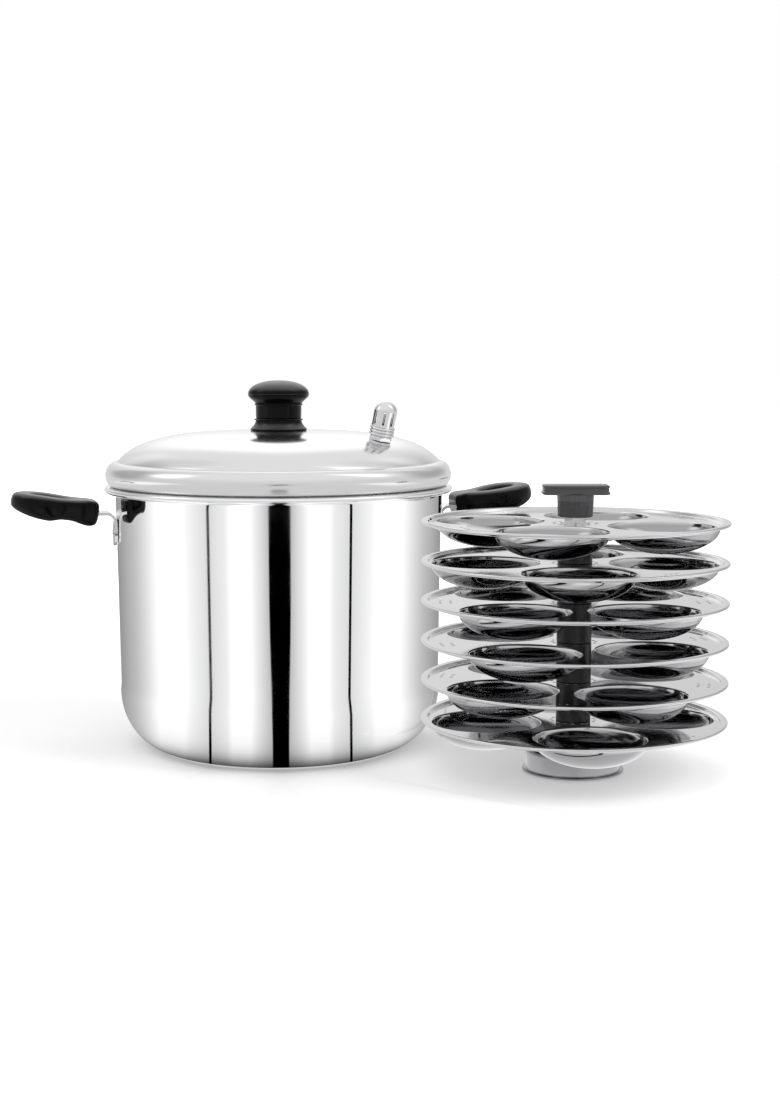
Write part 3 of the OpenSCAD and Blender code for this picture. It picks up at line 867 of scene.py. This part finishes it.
@dataclass
class SteamVent:
    """The vent on the lid: hexagon base, ridged collar and slotted cap."""

    lid: Lid
    distance: float = 81.7
    azimuth: float = -43.3
    seat: float = 0.3
    base_h: float = 3.4
    hex_r: float = 8.6
    neck_r: float = 5.4
    tube_r: float = 2.9
    tube_h: float = 8.0
    bore_r: float = 1.5
    collar_h: float = 6.2
    collar_r: float = 7.75
    ridge: float = 1.15
    ridges: int = 3
    cap_h: float = 17.4
    cap_r: float = 8.0
    wall: float = 1.0
    slots: int = 8
    slot_w: float = 1.3
    slot_turn: float = 28.6
    slot_low: float = 1.6

    @property
    def cap_z(self) -> float:
        """Height of the cap's lower edge over the dome."""
        return self.base_h + self.collar_h

    def placed(self, skin: Skin) -> Skin:
        """Stands a skin on the dome, along the dome's normal."""
        slope = math.atan(float(self.lid.dome(self.distance - 0.5)
                                - self.lid.dome(self.distance + 0.5)))
        c, s = math.cos(slope), math.sin(slope)
        lean = np.array([[c, 0, s], [0, 1, 0], [-s, 0, c]])
        foot = np.array([self.distance, 0, float(self.lid.dome(self.distance))])
        return skin.placed(lean, foot).moved(self.azimuth)

    def base(self) -> Skin:
        """Hexagon with its upper corners turned off, over the stem inside.

        The radius round the hexagon is apothem / cos(angle from the flat), cut
        down near the top by the chamfer's cone.
        """
        a = np.radians(np.arange(0, 360, 2.5))[:, None]
        flat = self.hex_r * math.cos(math.pi / 6) / np.cos(a % (math.pi / 3) - math.pi / 6)
        h = np.array([self.seat, self.seat, 1.0, 1.8, 2.4, 2.9, 3.25, self.base_h])
        cone = self.hex_r + 0.1 - 1.35 * np.maximum(h - 2.0, 0) ** 1.2
        r = np.minimum(flat, cone) * (np.arange(len(h)) > 0)
        low, top = self.cap_z, self.cap_z + self.tube_h
        stem = np.array([[self.neck_r, self.base_h], [self.neck_r, low], [self.tube_r, low],
                         [self.tube_r, top], [self.bore_r, top], [self.bore_r, low - 0.6],
                         [0, low - 0.6]])
        return Skin.grid(np.concatenate([spun(r, h, a), spun(*stem.T, a)], 1), True)

    def collar(self) -> Skin:
        """Rolled ridges, each a sine bulge on the collar's wall."""
        k = np.linspace(0, 1, 49)
        r = self.collar_r + self.ridge * np.abs(np.sin(np.pi * self.ridges * k)) ** 0.8
        outer = np.stack([r, mix(self.base_h, self.cap_z, k)], -1)
        inner = [[self.neck_r + 0.05, self.cap_z], [self.neck_r + 0.05, self.base_h]]
        return Skin.turned(np.concatenate([outer, inner]), 96, closed=True)

    def cap(self) -> Skin:
        """Bullet-shaped cap: tube wall and dome, with slots left open in the wall."""
        top = self.cap_h - self.cap_r
        half = math.degrees(self.slot_w / 2 / self.cap_r)
        pitch = 360 / self.slots
        angles, slotted = [], []
        for k in range(self.slots):
            start = k * pitch + self.slot_turn - half
            angles += [*np.linspace(start, start + 2 * half, 3),
                       *np.linspace(start + 2 * half, start + pitch, 12)[1:-1]]
            slotted += [True, True] + [False] * 11
        a = np.radians(angles)[:, None]
        low, high = self.slot_low, top + 1.0
        wall_z = [0.0, 0.25, low, mix(low, high, 0.5), high]
        rise = math.asin((high - top) / self.cap_r)
        q = np.radians(np.linspace(math.degrees(rise) + 4, 90, 20))
        out_r = np.array([self.cap_r + 0.35, self.cap_r + 0.1, self.cap_r, self.cap_r,
                          self.cap_r * math.cos(rise), *self.cap_r * np.cos(q)])
        in_r = np.minimum(out_r, self.cap_r) * (self.cap_r - self.wall) / self.cap_r
        layers, skins = [], []
        for r, dome_r in ((out_r, self.cap_r), (in_r, self.cap_r - self.wall)):
            z = np.array([*wall_z, *top + dome_r * np.sin(q)]) + self.cap_z
            layers.append(spun(r, z, a))
            grid = Skin.grid(layers[-1], True)
            rows = len(z) - 1
            skins.append(Skin(grid.points, [
                f for n, f in enumerate(grid.faces)
                if not (slotted[n // rows] and n % rows in (2, 3))]))
        outer, inner = layers
        walls = [Skin.band(outer[:, 0], inner[:, 0], True)]
        for n, m in enumerate(np.roll(np.arange(len(angles)), -1)):
            if slotted[n]:
                ends = [k for k, beside in ((n, n - 1), (m, m)) if not slotted[beside]]
                walls += [Skin.band(outer[k, 2:5], inner[k, 2:5]) for k in ends]
                walls += [Skin.band(outer[[n, m], j], inner[[n, m], j]) for j in (2, 4)]
        return skins[0].joined(skins[1], *walls)

    def build(self) -> None:
        """Builds the vent's base, collar and cap, and keeps the nut below."""
        for name, skin, body, node in (("Vent_base", self.base(), "lid", "vent_stem"),
                                       ("Vent_collar", self.collar(), "lid", "vent_collar"),
                                       ("Vent_cap", self.cap(), "vent_cap", "vent_cap")):
            fit(self.placed(skin).to_object(name), body, TURNED_STEEL, node)
        keep("vent_nut", FITTING_STEEL)


# -------------------------------------------------------------------- rack


@dataclass
class IdliPlate:
    """One pressed plate of four cups."""

    level: float
    turn: float
    radius: float = 101.5
    thickness: float = 1.0
    step: float = 2.2
    cup_at: float = 58.5
    cup_r: float = 36.0
    cup_h: float = 16.8
    lip_w: float = 1.3
    land: float = 0.5
    bead: float = 0.95
    bore: float = 4.05
    hub_ring: float = 14.4
    hub_hole: float = 1.2
    hub_holes: int = 16
    steam_hole: float = 1.0
    steam_rows: tuple[float, ...] = (82.0, 89.0)
    steam_step: float = 3.6
    around: int = 240

    @property
    def rim_in(self) -> float:
        """Radius where the flat ends and the rim rises."""
        return self.cup_at + self.cup_r + self.thickness + self.land

    @property
    def lip(self) -> float:
        """Radius round a cup's middle where its rounded lip meets the flat."""
        return self.cup_r + self.lip_w

    def circles(self) -> list[tuple[float, float, float, int]]:
        """Every hole in the flat: its middle, radius and number of points."""
        found = [(0.0, 0.0, self.bore, 48)]
        for k in range(4):
            q = math.radians(90 * k)
            found.append((self.cup_at * math.cos(q), self.cup_at * math.sin(q), self.lip, 128))
            for r in self.steam_rows:
                for j in (-1, 0, 1):
                    q = math.radians(90 * k + 45 + j * self.steam_step)
                    found.append((r * math.cos(q), r * math.sin(q), self.steam_hole, 14))
        for j in range(self.hub_holes):
            q = 2 * math.pi * (j + 0.5) / self.hub_holes
            found.append((self.hub_ring * math.cos(q), self.hub_ring * math.sin(q),
                          self.hub_hole, 16))
        return found

    @staticmethod
    def ring(x: float, y: float, r: float, count: int) -> Array:
        """Points of a circle, evenly spaced."""
        q = np.linspace(0, 2 * np.pi, count, endpoint=False)
        return np.stack([x + r * np.cos(q), y + r * np.sin(q)], -1)

    def web(self) -> list[Skin]:
        """The flat between cups and holes, above and below, and the holes' walls.

        The plane inside the rim is cut into triangles whose edges follow every
        circle, and those inside a hole are left out.
        """
        holes = self.circles()
        loops = [self.ring(0, 0, self.rim_in, self.around)]
        loops += [self.ring(*hole) for hole in holes]
        points = np.concatenate(loops)
        edges, start = [], 0
        for loop in loops:
            n = len(loop)
            edges += [(start + i, start + (i + 1) % n) for i in range(n)]
            start += n
        found = delaunay_2d_cdt([Vector(p) for p in points.tolist()], edges, [], 0, 1e-5)
        flat = np.array([tuple(v) for v in found[0]])
        tris = np.array(found[2])
        centre = flat[tris].mean(1)
        inside = np.hypot(*centre.T) < self.rim_in
        for x, y, r, _ in holes:
            inside &= np.hypot(centre[:, 0] - x, centre[:, 1] - y) > r * 0.999
        faces = [tuple(f) for f in tris[inside].tolist()]
        skins = [Skin(np.column_stack([flat, np.full(len(flat), z)]), faces)
                 for z in (0.0, -self.thickness)]
        for x, y, r, n in holes:
            if r == self.lip:
                continue
            top = np.column_stack([self.ring(x, y, r, n), np.zeros(n)])
            skins.append(Skin.band(top, top - [0, 0, self.thickness], True))
        return skins

    def cup(self) -> tuple[Skin, Skin]:
        """Inner and outer faces of a cup: an ellipse with a rounded lip."""
        t2 = self.thickness / 2
        bowl = arc((0, -t2), self.cup_r + 0.3, self.cup_h, -90, -5, 34)
        lip = rounded([bowl[-1], [self.cup_r + 0.42, -t2], [self.lip, -t2]], 1.1, 9)
        path = np.concatenate([bowl[:-1], lip[:-1], [[self.lip, -t2]]])
        side = left_of(path) * t2
        side[0], side[-1] = (0, t2), (0, t2)
        inner, outer = path + side, path - side
        inner[0, 0] = outer[0, 0] = 0.0
        inner[-1, 0] = outer[-1, 0] = self.lip
        return Skin.turned(inner, 128), Skin.turned(outer, 128)

    def rim(self) -> Skin:
        """Rise, flat flange and rolled edge, above and below."""
        a, t, h = self.rim_in, self.thickness, self.step
        middle = self.radius - self.bead
        top = rounded([[a, 0], [a + 0.35, 0], [a + 1.5, h], [middle, h]], 0.5, 5)
        edge = arc((middle, h - self.bead + 0.1), self.bead, self.bead, 84, -120, 18)
        under = rounded([[middle - 0.8, h - t], [a + 2.1, h - t], [a + 0.95, -t], [a, -t]],
                        0.5, 5)
        return Skin.turned(np.concatenate([top, edge, under]), self.around)

    def build(self, number: int, x: float, y: float) -> None:
        """Builds the plate round the rod at x and y."""
        inner, outer = self.cup()
        parts = [*self.web(), self.rim()]
        for k in range(4):
            parts += [inner.moved(0, (self.cup_at, 0, 0)).moved(90 * k),
                      outer.moved(0, (self.cup_at, 0, 0)).moved(90 * k)]
        plate = parts[0].joined(*parts[1:]).moved(self.turn, (x, y, self.level))
        piece = plate.to_object(f"Idli_plate_{number}", sharp=40)
        fit(piece, f"plate_{number}", PLATE_SHEET, f"idli_plate_{number}")


@dataclass
class Rack:
    """The rack that stands beside the pot: foot, rod, spacers, plates and knob."""

    away: float = 216.9
    azimuth: float = -36.66
    top: float = 167.4
    gap: float = 26.33
    turns: tuple[float, ...] = (-124, -107.5, -59.5, -141, -71, -99)
    spacer_r: float = 11.5
    mould_line: float = 0.12
    mould_wide: float = 7.0
    rod_r: float = 4.05
    foot_r: float = 31.3
    foot_h: float = 15.2
    foot_t: float = 1.2
    foot_round: float = 3.0
    flange: float = 34.1
    stem_r: Pair = (11.6, 12.2)
    stem_foot: float = 11.0
    stem_bore: float = 181.6
    flutes: int = 14
    flute: float = 0.22
    bar: Pair = (44.5, 22.0)
    bar_round: float = 5.0
    bar_z: float = 184.3
    bar_h: float = 6.5
    bar_turn: float = -14.0
    nut_h: float = 4.4

    @property
    def x(self) -> float:
        """Place of the rod along the handles."""
        return self.away * cos_sin(self.azimuth)[0]

    @property
    def y(self) -> float:
        """Place of the rod across the handles."""
        return self.away * cos_sin(self.azimuth)[1]

    @property
    def top_flat(self) -> float:
        """Height of the top plate's flat."""
        return self.top - IdliPlate.step

    def at(self, skin: Skin, z: float = 0.0, turn: float = 0.0) -> Skin:
        """Moves a skin onto the rod's axis."""
        return skin.moved(turn, (self.x, self.y, z))

    def foot(self) -> Skin:
        """Low inverted cup with an out-turned flange that stands on the floor."""
        t, r, h, e = self.foot_t, self.foot_r, self.foot_h, self.foot_round
        return Skin.turned(np.concatenate([
            [[self.rod_r, h]], arc((r - e, h - e), e, e, 90, 0, 12),
            arc((r + 1, t + 1), 1, 1, 180, 270, 6),
            arc((self.flange - t / 2, t / 2), t / 2, t / 2, 90, -90, 12),
            [[r - t, 0]], arc((r - e, h - e), e - t, e - t, 0, 90, 8),
            [[self.rod_r, h - t]]]), 160, closed=True)

    def spacer(self, length: float) -> Skin:
        """Moulded tube with softened ends and two hair lines where the mould split."""
        outline = rounded([[self.rod_r, 0.0], [self.spacer_r, 0.0], [self.spacer_r, length],
                           [self.rod_r, length]], 0.5, 5)
        middle = np.linspace([self.spacer_r, 1.0], [self.spacer_r, length - 1.0], 6)
        r, z = np.concatenate([outline[:6], middle, outline[6:]]).T
        a = np.linspace(0, 2 * np.pi, 96, endpoint=False)[:, None]
        apart = np.degrees(np.angle(np.exp(2j * a)))
        seam = self.mould_line * np.exp(-(apart / self.mould_wide) ** 2)
        return Skin.grid(spun(r + seam * (r > self.spacer_r - 0.01), z, a), True, True)

    def bar_skin(self, profile: Sequence[Pair]) -> Skin:
        """A rounded rectangle carried along a profile of (inset, height), and closed.

        Each row is the rectangle drawn in by the inset: a quarter circle at each
        corner, so the rows stay parallel to each other. The first and the last
        row close onto the bar's middle line.
        """
        q = np.linspace(0, 2 * np.pi, 96, endpoint=False) + math.pi / 96
        rows = []
        for inset, height in profile:
            r = max(self.bar_round - inset, 0.2)
            hx, hy = (max(side / 2 - inset - r, 0) for side in self.bar)
            rows.append(np.stack([np.sign(np.cos(q)) * hx + r * np.cos(q),
                                  np.sign(np.sin(q)) * hy + r * np.sin(q),
                                  np.full_like(q, height)], -1))
        bar = np.stack(rows, 1)
        ends = [Skin.band(bar[:, k], bar[:, k] * [1, 0, 1], True) for k in (0, -1)]
        return Skin.grid(bar, True).joined(*ends)

    def lift_knob(self) -> Skin:
        """T-shaped knob: two rounded slabs with a groove between, on a fluted stem."""
        deep = self.bar[1] / 2 - 0.15
        profile = [(deep, 0), (1.2, 0), (0.5, 0.15), (0.1, 0.5), (0.0, 1.0), (0.05, 1.6),
                   (0.35, 2.0), (0.85, 2.2), (0.9, 2.5), (0.75, 3.3), (0.9, 4.1),
                   (0.95, 4.35), (0.6, 4.6), (0.45, 5.0), (0.45, 5.5), (0.6, 5.95),
                   (1.0, 6.3), (1.6, self.bar_h - 0.05), (3.0, self.bar_h),
                   (deep, self.bar_h)]
        bar = self.bar_skin([(inset, self.bar_z + h) for inset, h in profile])
        low = self.top_flat + self.nut_h
        a = np.radians(np.arange(0, 360, 2.5))[:, None]
        k = np.array([0, 0.02, 0.06, 0.12, 0.5, 0.9, 1.0])
        flute = self.flute * (1 - np.abs(np.cos(self.flutes / 2 * a))) * np.minimum(k * 8, 1)
        r = mix(*self.stem_r, k) - flute - 0.45 * (1 - np.minimum(k * 20, 1))
        stem = spun(r, mix(low, self.bar_z + 0.3, k), a)
        bore = spun(np.array([0, self.rod_r, self.rod_r, self.stem_foot]),
                    np.array([self.stem_bore, self.stem_bore, low, low]), a)
        cap = stem[:, -1:] * [0, 0, 1]
        return bar.joined(Skin.grid(np.concatenate([bore, stem, cap], 1), True))

    def build(self) -> None:
        """Builds the rack from the foot up, and keeps the rod and its nuts."""
        fit(self.at(self.foot()).to_object("Rack_foot"), "rack", FOOT_SHEET, "rack_foot")
        plates = [IdliPlate(self.top_flat - self.gap * i, turn)
                  for i, turn in enumerate(self.turns)]
        seats = [plate.level for plate in plates[1:]] + [self.foot_h]
        for number, (plate, seat) in enumerate(zip(plates, seats), 1):
            plate.build(number, self.x, self.y)
            length = plate.level - plate.thickness - seat
            tube = self.at(self.spacer(length), seat, 37.0 * number)
            fit(tube.to_object(f"Spacer_{number}"), "rack", GREY_PLASTIC, f"spacer_{number}")
        knob = self.at(self.lift_knob(), 0, self.bar_turn).to_object("Lift_knob", sharp=50)
        fit(knob, "lift_knob", GREY_PLASTIC, "lift_knob")
        for node in ("centre_rod", "foot_nut", "hub_nut"):
            keep(node, FITTING_STEEL)


# ------------------------------------------------------------------ studio


@dataclass
class Studio:
    """Pale floor, backdrop, soft lamps, screens seen only in the steel, and the camera."""

    heading: float = 14.0
    pitch: float = 6.52
    lens: float = 58.48
    eye: tuple[float, float, float] = (-230.2, -1245.8, 279.7)
    wall_r: float = 114.0
    flag_at: float = 115.0
    flag_reach: float = 108.0
    flag_back: float = 0.85
    skirt: float = 0.76
    canopy_r: float = 2600.0
    floor_half: float = 6.0
    floor_white: float = 0.86
    floor_gloss: float = 0.12
    floor_coat: float = 0.06
    floor_glow: float = 0.27
    floor_fade: Pair = (0.40, 0.95)
    backdrop: float = 0.55
    # Upright bands: share of the pot's half width, and brightness there
    strips: tuple[Pair, ...] = (
        (0.0, 0.0), (0.066, 0.0), (0.070, 0.60), (0.11, 0.80), (0.15, 0.97), (0.19, 1.2),
        (0.30, 1.2), (0.34, 0.97), (0.38, 0.90), (0.4322, 0.82), (0.4328, 0.0),
        (0.4484, 0.0), (0.4490, 0.82), (0.49, 0.90), (0.53, 0.98), (0.565, 1.06),
        (0.60, 1.2), (0.75, 1.2), (0.80, 0.98), (0.83, 0.84), (0.87, 0.68), (0.90, 0.58),
        (0.94, 0.48), (0.98, 0.36), (1.0, 0.30))
    # Soft patches: degrees from the camera, elevation, width, height, and change
    patches: tuple[tuple[float, float, float, float, float], ...] = (
        (-124, 24, 36, 30, -0.32), (124, 24, 36, 30, -0.32),
        (-118, 52, 26, 26, -0.12), (114, 52, 20, 22, -0.12),
        (180, 34, 26, 34, 0.48), (-146, 30, 13, 20, 0.20), (134, 38, 13, 18, 0.20),
        (-88, 42, 22, 20, 0.65), (80, 54, 18, 26, 0.65), (0, 3, 9, 14, -0.70))

    @property
    def view(self) -> float:
        """Direction of the camera from the pot's axis, in radians."""
        return math.atan2(self.eye[1], self.eye[0])

    def emitter(self, name: str, back: float | None) -> bpy.types.Material:
        """Glow whose strength is the mesh's own shade; its back is clear at 0."""
        material = bpy.data.materials.new(name)
        tree = new_tree(material)
        shade = add_node(tree, "ShaderNodeAttribute", {"attribute_name": "shade"})
        surface = add_node(tree, "ShaderNodeEmission", values={"Color": WHITE},
                           links={"Strength": shade.outputs["Fac"]}).outputs[0]
        if back is not None:
            behind = (add_node(tree, "ShaderNodeEmission",
                               values={"Color": WHITE, "Strength": back})
                      if back > 0 else add_node(tree, "ShaderNodeBsdfTransparent"))
            facing = add_node(tree, "ShaderNodeNewGeometry").outputs["Backfacing"]
            surface = add_node(tree, "ShaderNodeMixShader",
                               links={0: facing, 1: surface, 2: behind.outputs[0]}).outputs[0]
        add_node(tree, "ShaderNodeOutputMaterial", links={"Surface": surface})
        return material

    def screen(self, name: str, points: Array, shade: Array, back: float | None = None) -> None:
        """A glowing screen that only polished surfaces see.

        Args:
            name: Name of the screen.
            points: Grid of its points, in millimetres.
            shade: How bright each point is; 1 is the backdrop's white.
            back: How bright its back is, 0 for clear, or None for the same as its front.
        """
        skin = Skin.grid(points)
        mesh = bpy.data.meshes.new(name)
        mesh.from_pydata((skin.points * MM).tolist(), [], skin.faces)
        mesh.attributes.new("shade", "FLOAT", "POINT").data.foreach_set(
            "value", np.ravel(shade).astype(np.float32))
        mesh.materials.append(self.emitter(name, back))
        obj = link_object(name, mesh)
        obj.visible_camera = obj.visible_diffuse = obj.visible_shadow = False
        obj.visible_transmission = False

    def bands(self, share: Array, taper: Array) -> Array:
        """Brightness of the upright bands; the taper narrows the middle one."""
        s = np.abs(share)
        s = s + 0.022 * taper * np.clip(1.375 - s / 0.08, 0, 1)
        return np.interp(s, *zip(*self.strips))

    def rays(self, share: Array, r: Array, z: Array, tilt: Array) -> tuple[Array, Array]:
        """Where a round wall sends the camera's rays.

        The share s of the pot's half width R puts the ray at asin(R s / D) from
        the axis as the camera sees it, D away. It meets a circle of radius r at
        i, with sin i = R s / r, and turns about the normal there, which dips by
        the wall's tilt.

        Args:
            share: Place across the pot, from -1 to 1.
            r: The wall's radius there.
            z: Its height.
            tilt: How far its normal dips, in radians.

        Returns:
            The point on the wall and the direction that the ray leaves in.
        """
        side = self.wall_r * share
        at_eye = np.arcsin(side / math.hypot(self.eye[0], self.eye[1]))
        q = self.view + np.arcsin(np.clip(side / r, -0.9995, 0.9995)) - at_eye
        start = spun(r, z, q)
        normal = spun(np.cos(tilt), -np.sin(tilt), q)
        ray = start - np.array(self.eye)
        ray = ray / np.linalg.norm(ray, axis=-1, keepdims=True)
        return start, ray - 2 * np.sum(ray * normal, -1, keepdims=True) * normal

    def wall_screens(self, pot: Pot, rack: Rack) -> None:
        """Fan on the floor and flag in the gap, which give the pot its bands.

        The fan's points are the places where the rays that the wall and its
        rounded corner turn away meet the floor, so each strip shows as an upright
        band, and it dims towards the base. The flag stands between the wall and
        the rack in the same bands, with an even back.

        Args:
            pot: The pot, for its profile.
            rack: The rack, which the flag keeps out of the pot's wall.
        """
        half = np.unique(np.concatenate([[k for k, _ in self.strips if k < 0.99],
                                         np.linspace(0.04, 0.08, 17),
                                         np.linspace(0, 0.995, 120)]))
        share = np.concatenate([-half[:0:-1], half])[:, None]
        corner = np.radians([78, 66, 56, 48, 42, 36, 30, 24, 18, 12, 8, 5, 3, 1.5, 0])
        high = np.array([48, 56, 66, 80, 100, 125, 155, 185, 215])
        tilt = np.concatenate([corner, 0 * high])
        z = np.concatenate([pot.corner_h * (1 - np.sin(corner)), high])
        r = np.concatenate([mix(pot.base_r, pot.wall_low_r, np.cos(corner)),
                            np.full(len(high), self.wall_r)])
        dim = np.interp(np.degrees(tilt), [0, 12, 24, 30, 36, 42, 48, 56, 66, 78],
                        [1.0, 0.97, 0.90, 0.83, 0.73, 0.58, 0.42, 0.22, 0.10, 0.05])
        start, away = self.rays(share, r, z, tilt)
        shade = self.bands(share, smoothstep((110 - z) / 90)) * dim
        points = start + away * ((start[..., 2:] - 0.6) / np.maximum(-away[..., 2:], 0.02))
        self.screen("Fan", points, shade)

        out = np.array([rack.x, rack.y, 0]) / rack.away
        across = np.array([-out[1], out[0], 0])
        turned = away @ out
        reach = (self.flag_at - start @ out) / np.where(turned > 0.02, turned, np.nan)
        z = np.array([0.7, 3, 6, 10, 15, 20, 26, 32, 38, 45, 60, 90, 130, 178])
        flag, glow = [], []
        for row, lit in zip(start + away * reach[..., None], shade):
            good = (row[:, 2] > 0) & (np.abs(row @ across) < self.flag_reach)
            if good[-4:-1].all():
                side = np.interp(z, row[good, 2], row[good] @ across)
                flag.append(out * self.flag_at + side[:, None] * across + z[:, None] * [0, 0, 1])
                glow.append(np.interp(z, row[good, 2], lit[good]))
        self.screen("Flag", np.stack(flag), np.stack(glow), back=self.flag_back)

    def ring_screen(self, pot: Pot) -> None:
        """Level skirt under the lid's ring, nearly even and seen from above alone."""
        q = np.concatenate([np.arange(-180, -6, 6), np.linspace(-5, 5, 21),
                            np.arange(10, 181, 5)])[:, None]
        r = np.array([123.5, 128, 134, 140, 146, 152, 165, 200, 300, 500, 1000, 2500])
        mark = smoothstep(2.2 - np.abs(q) / 1.6) * np.interp(
            r, [123, 128, 134, 142, 152], [0.2, 0.9, 1, 0.4, 0])
        spots = smoothstep(1.5 - np.abs(q + 73) / 15) + smoothstep(1.5 - np.abs(q - 54) / 9)
        near = np.interp(r, [123, 140, 155, 200, 600, 2500], [0, 0.1, 0.8, 1, 1, 0.4])
        self.screen("Skirt", spun(r, pot.ledge - 1, self.view + np.radians(q)),
                    self.skirt * (1 - 0.5 * mark) + 0.5 * spots * near, back=0)

    def canopy(self) -> None:
        """A large hood of soft greys above the object, seen only in the steel.

        It is nearly even. The patches make its back lighter and its shoulders
        greyer, put a soft box to each side of the camera, and leave a dark spot
        low in front, where the camera stands.
        """
        a = np.linspace(-180, 180, 121)[:, None]
        e = np.linspace(0.2, 89.5, 31)
        shade = mix(0.77, 0.93, smoothstep((e - 10) / 40)) + 0 * a
        for azimuth, level, wide, tall, change in self.patches:
            u = np.abs((a - azimuth + 180) % 360 - 180) / wide
            shade = shade + change * smoothstep(1.5 - 1.5 * np.hypot(u, (e - level) / tall))
        f = np.radians(e)
        points = self.canopy_r * spun(np.cos(f), np.sin(f), self.view + np.radians(a))
        self.screen("Canopy", points, np.maximum(shade, 0))

    def floor(self) -> None:
        """A wide pale floor that keeps the shadow and whitens into the backdrop."""
        s, z, white = self.floor_half, -0.4 * MM, self.floor_white
        mesh = bpy.data.meshes.new("Floor")
        mesh.from_pydata([(-s, -s, z), (s, -s, z), (s, s, z), (-s, s, z)], [], [(0, 1, 2, 3)])
        material = bpy.data.materials.new("White board")
        tree = new_tree(material)
        board = add_node(tree, "ShaderNodeBsdfDiffuse", values={"Color": (white, white, white, 1)})
        gloss = add_node(tree, "ShaderNodeBsdfGlossy",
                         values={"Color": WHITE, "Roughness": self.floor_gloss})
        coat = add_node(tree, "ShaderNodeMixShader", values={"Fac": self.floor_coat},
                        links={1: board.outputs[0], 2: gloss.outputs[0]})
        place = add_node(tree, "ShaderNodeTexCoord").outputs["Object"]
        length = add_node(tree, "ShaderNodeVectorMath", {"operation": "LENGTH"},
                          links={0: place}).outputs["Value"]
        fade = remap(tree, length, self.floor_fade, (self.floor_glow, 1.0), smooth=True)
        path = add_node(tree, "ShaderNodeLightPath").outputs
        seen = maths(tree, "MAXIMUM", path["Is Camera Ray"], path["Is Glossy Ray"])
        glow = add_node(tree, "ShaderNodeEmission", values={"Color": WHITE},
                        links={"Strength": maths(tree, "MULTIPLY", seen, fade)})
        both = add_node(tree, "ShaderNodeAddShader", links={0: coat.outputs[0], 1: glow.outputs[0]})
        add_node(tree, "ShaderNodeOutputMaterial", links={"Surface": both.outputs[0]})
        mesh.materials.append(material)
        obj = link_object("Floor", mesh)

    def world(self) -> None:
        """White backdrop to the eye and to the steel, dimmer as a light."""
        world = bpy.data.worlds.new("Studio")
        bpy.context.scene.world = world
        tree = new_tree(world)
        path = add_node(tree, "ShaderNodeLightPath").outputs
        seen = maths(tree, "MAXIMUM", path["Is Camera Ray"], path["Is Glossy Ray"])
        seen = maths(tree, "MAXIMUM", seen, path["Is Transmission Ray"])
        back = add_node(tree, "ShaderNodeBackground", values={"Color": WHITE},
                        links={"Strength": remap(tree, seen, (0.0, 1.0), (self.backdrop, 1.0))})
        add_node(tree, "ShaderNodeOutputWorld", links={"Surface": back.outputs[0]})

    def lamp(self, name: str, place: tuple[float, float, float], size: float,
             power: float) -> None:
        """A square soft lamp aimed at the object's middle."""
        data = bpy.data.lights.new(name, "AREA")
        data.size, data.energy = size, power
        obj = link_object(name, data)
        obj.location = place
        aim = Vector((0.05, -0.05, 0.1)) - Vector(place)
        obj.rotation_euler = aim.to_track_quat("-Z", "Y").to_euler()
        obj.visible_glossy = False

    def camera(self) -> None:
        """The camera at the photograph's viewing angle."""
        data = bpy.data.cameras.new("View")
        data.lens, data.sensor_width, data.sensor_fit = self.lens, 36.0, "AUTO"
        data.clip_start, data.clip_end = 0.01, 50.0
        obj = link_object("View", data)
        obj.location = Vector(self.eye) * MM
        obj.rotation_euler = (math.radians(90 - self.pitch), 0, math.radians(-self.heading))
        bpy.context.scene.camera = obj

    def build(self, pot: Pot, rack: Rack) -> None:
        """Builds the studio round the object."""
        bpy.context.scene.view_settings.view_transform = "Standard"
        self.floor()
        self.world()
        self.camera()
        self.lamp("Key", (1.4, -1.1, 1.5), 1.2, 15)
        self.lamp("Fill", (-0.9, -1.3, 1.9), 1.2, 9)
        self.lamp("Top", (0.1, 0.2, 2.2), 1.6, 12)
        self.wall_screens(pot, rack)
        self.ring_screen(pot)
        self.canopy()


def main() -> None:
    """Builds the steamer and its studio."""
    logging.basicConfig(level=logging.INFO, format="%(name)s %(message)s")
    pot = Pot()
    pot.build()
    for side in Side:
        SideHandle(side).build()
    keep("handle_screws", FITTING_STEEL)
    lid = Lid(pot)
    lid.build()
    SteamVent(lid).build()
    rack = Rack()
    rack.build()
    Studio().build(pot, rack)
    bpy.context.view_layer.update()


if __name__ == "__main__":
    main()
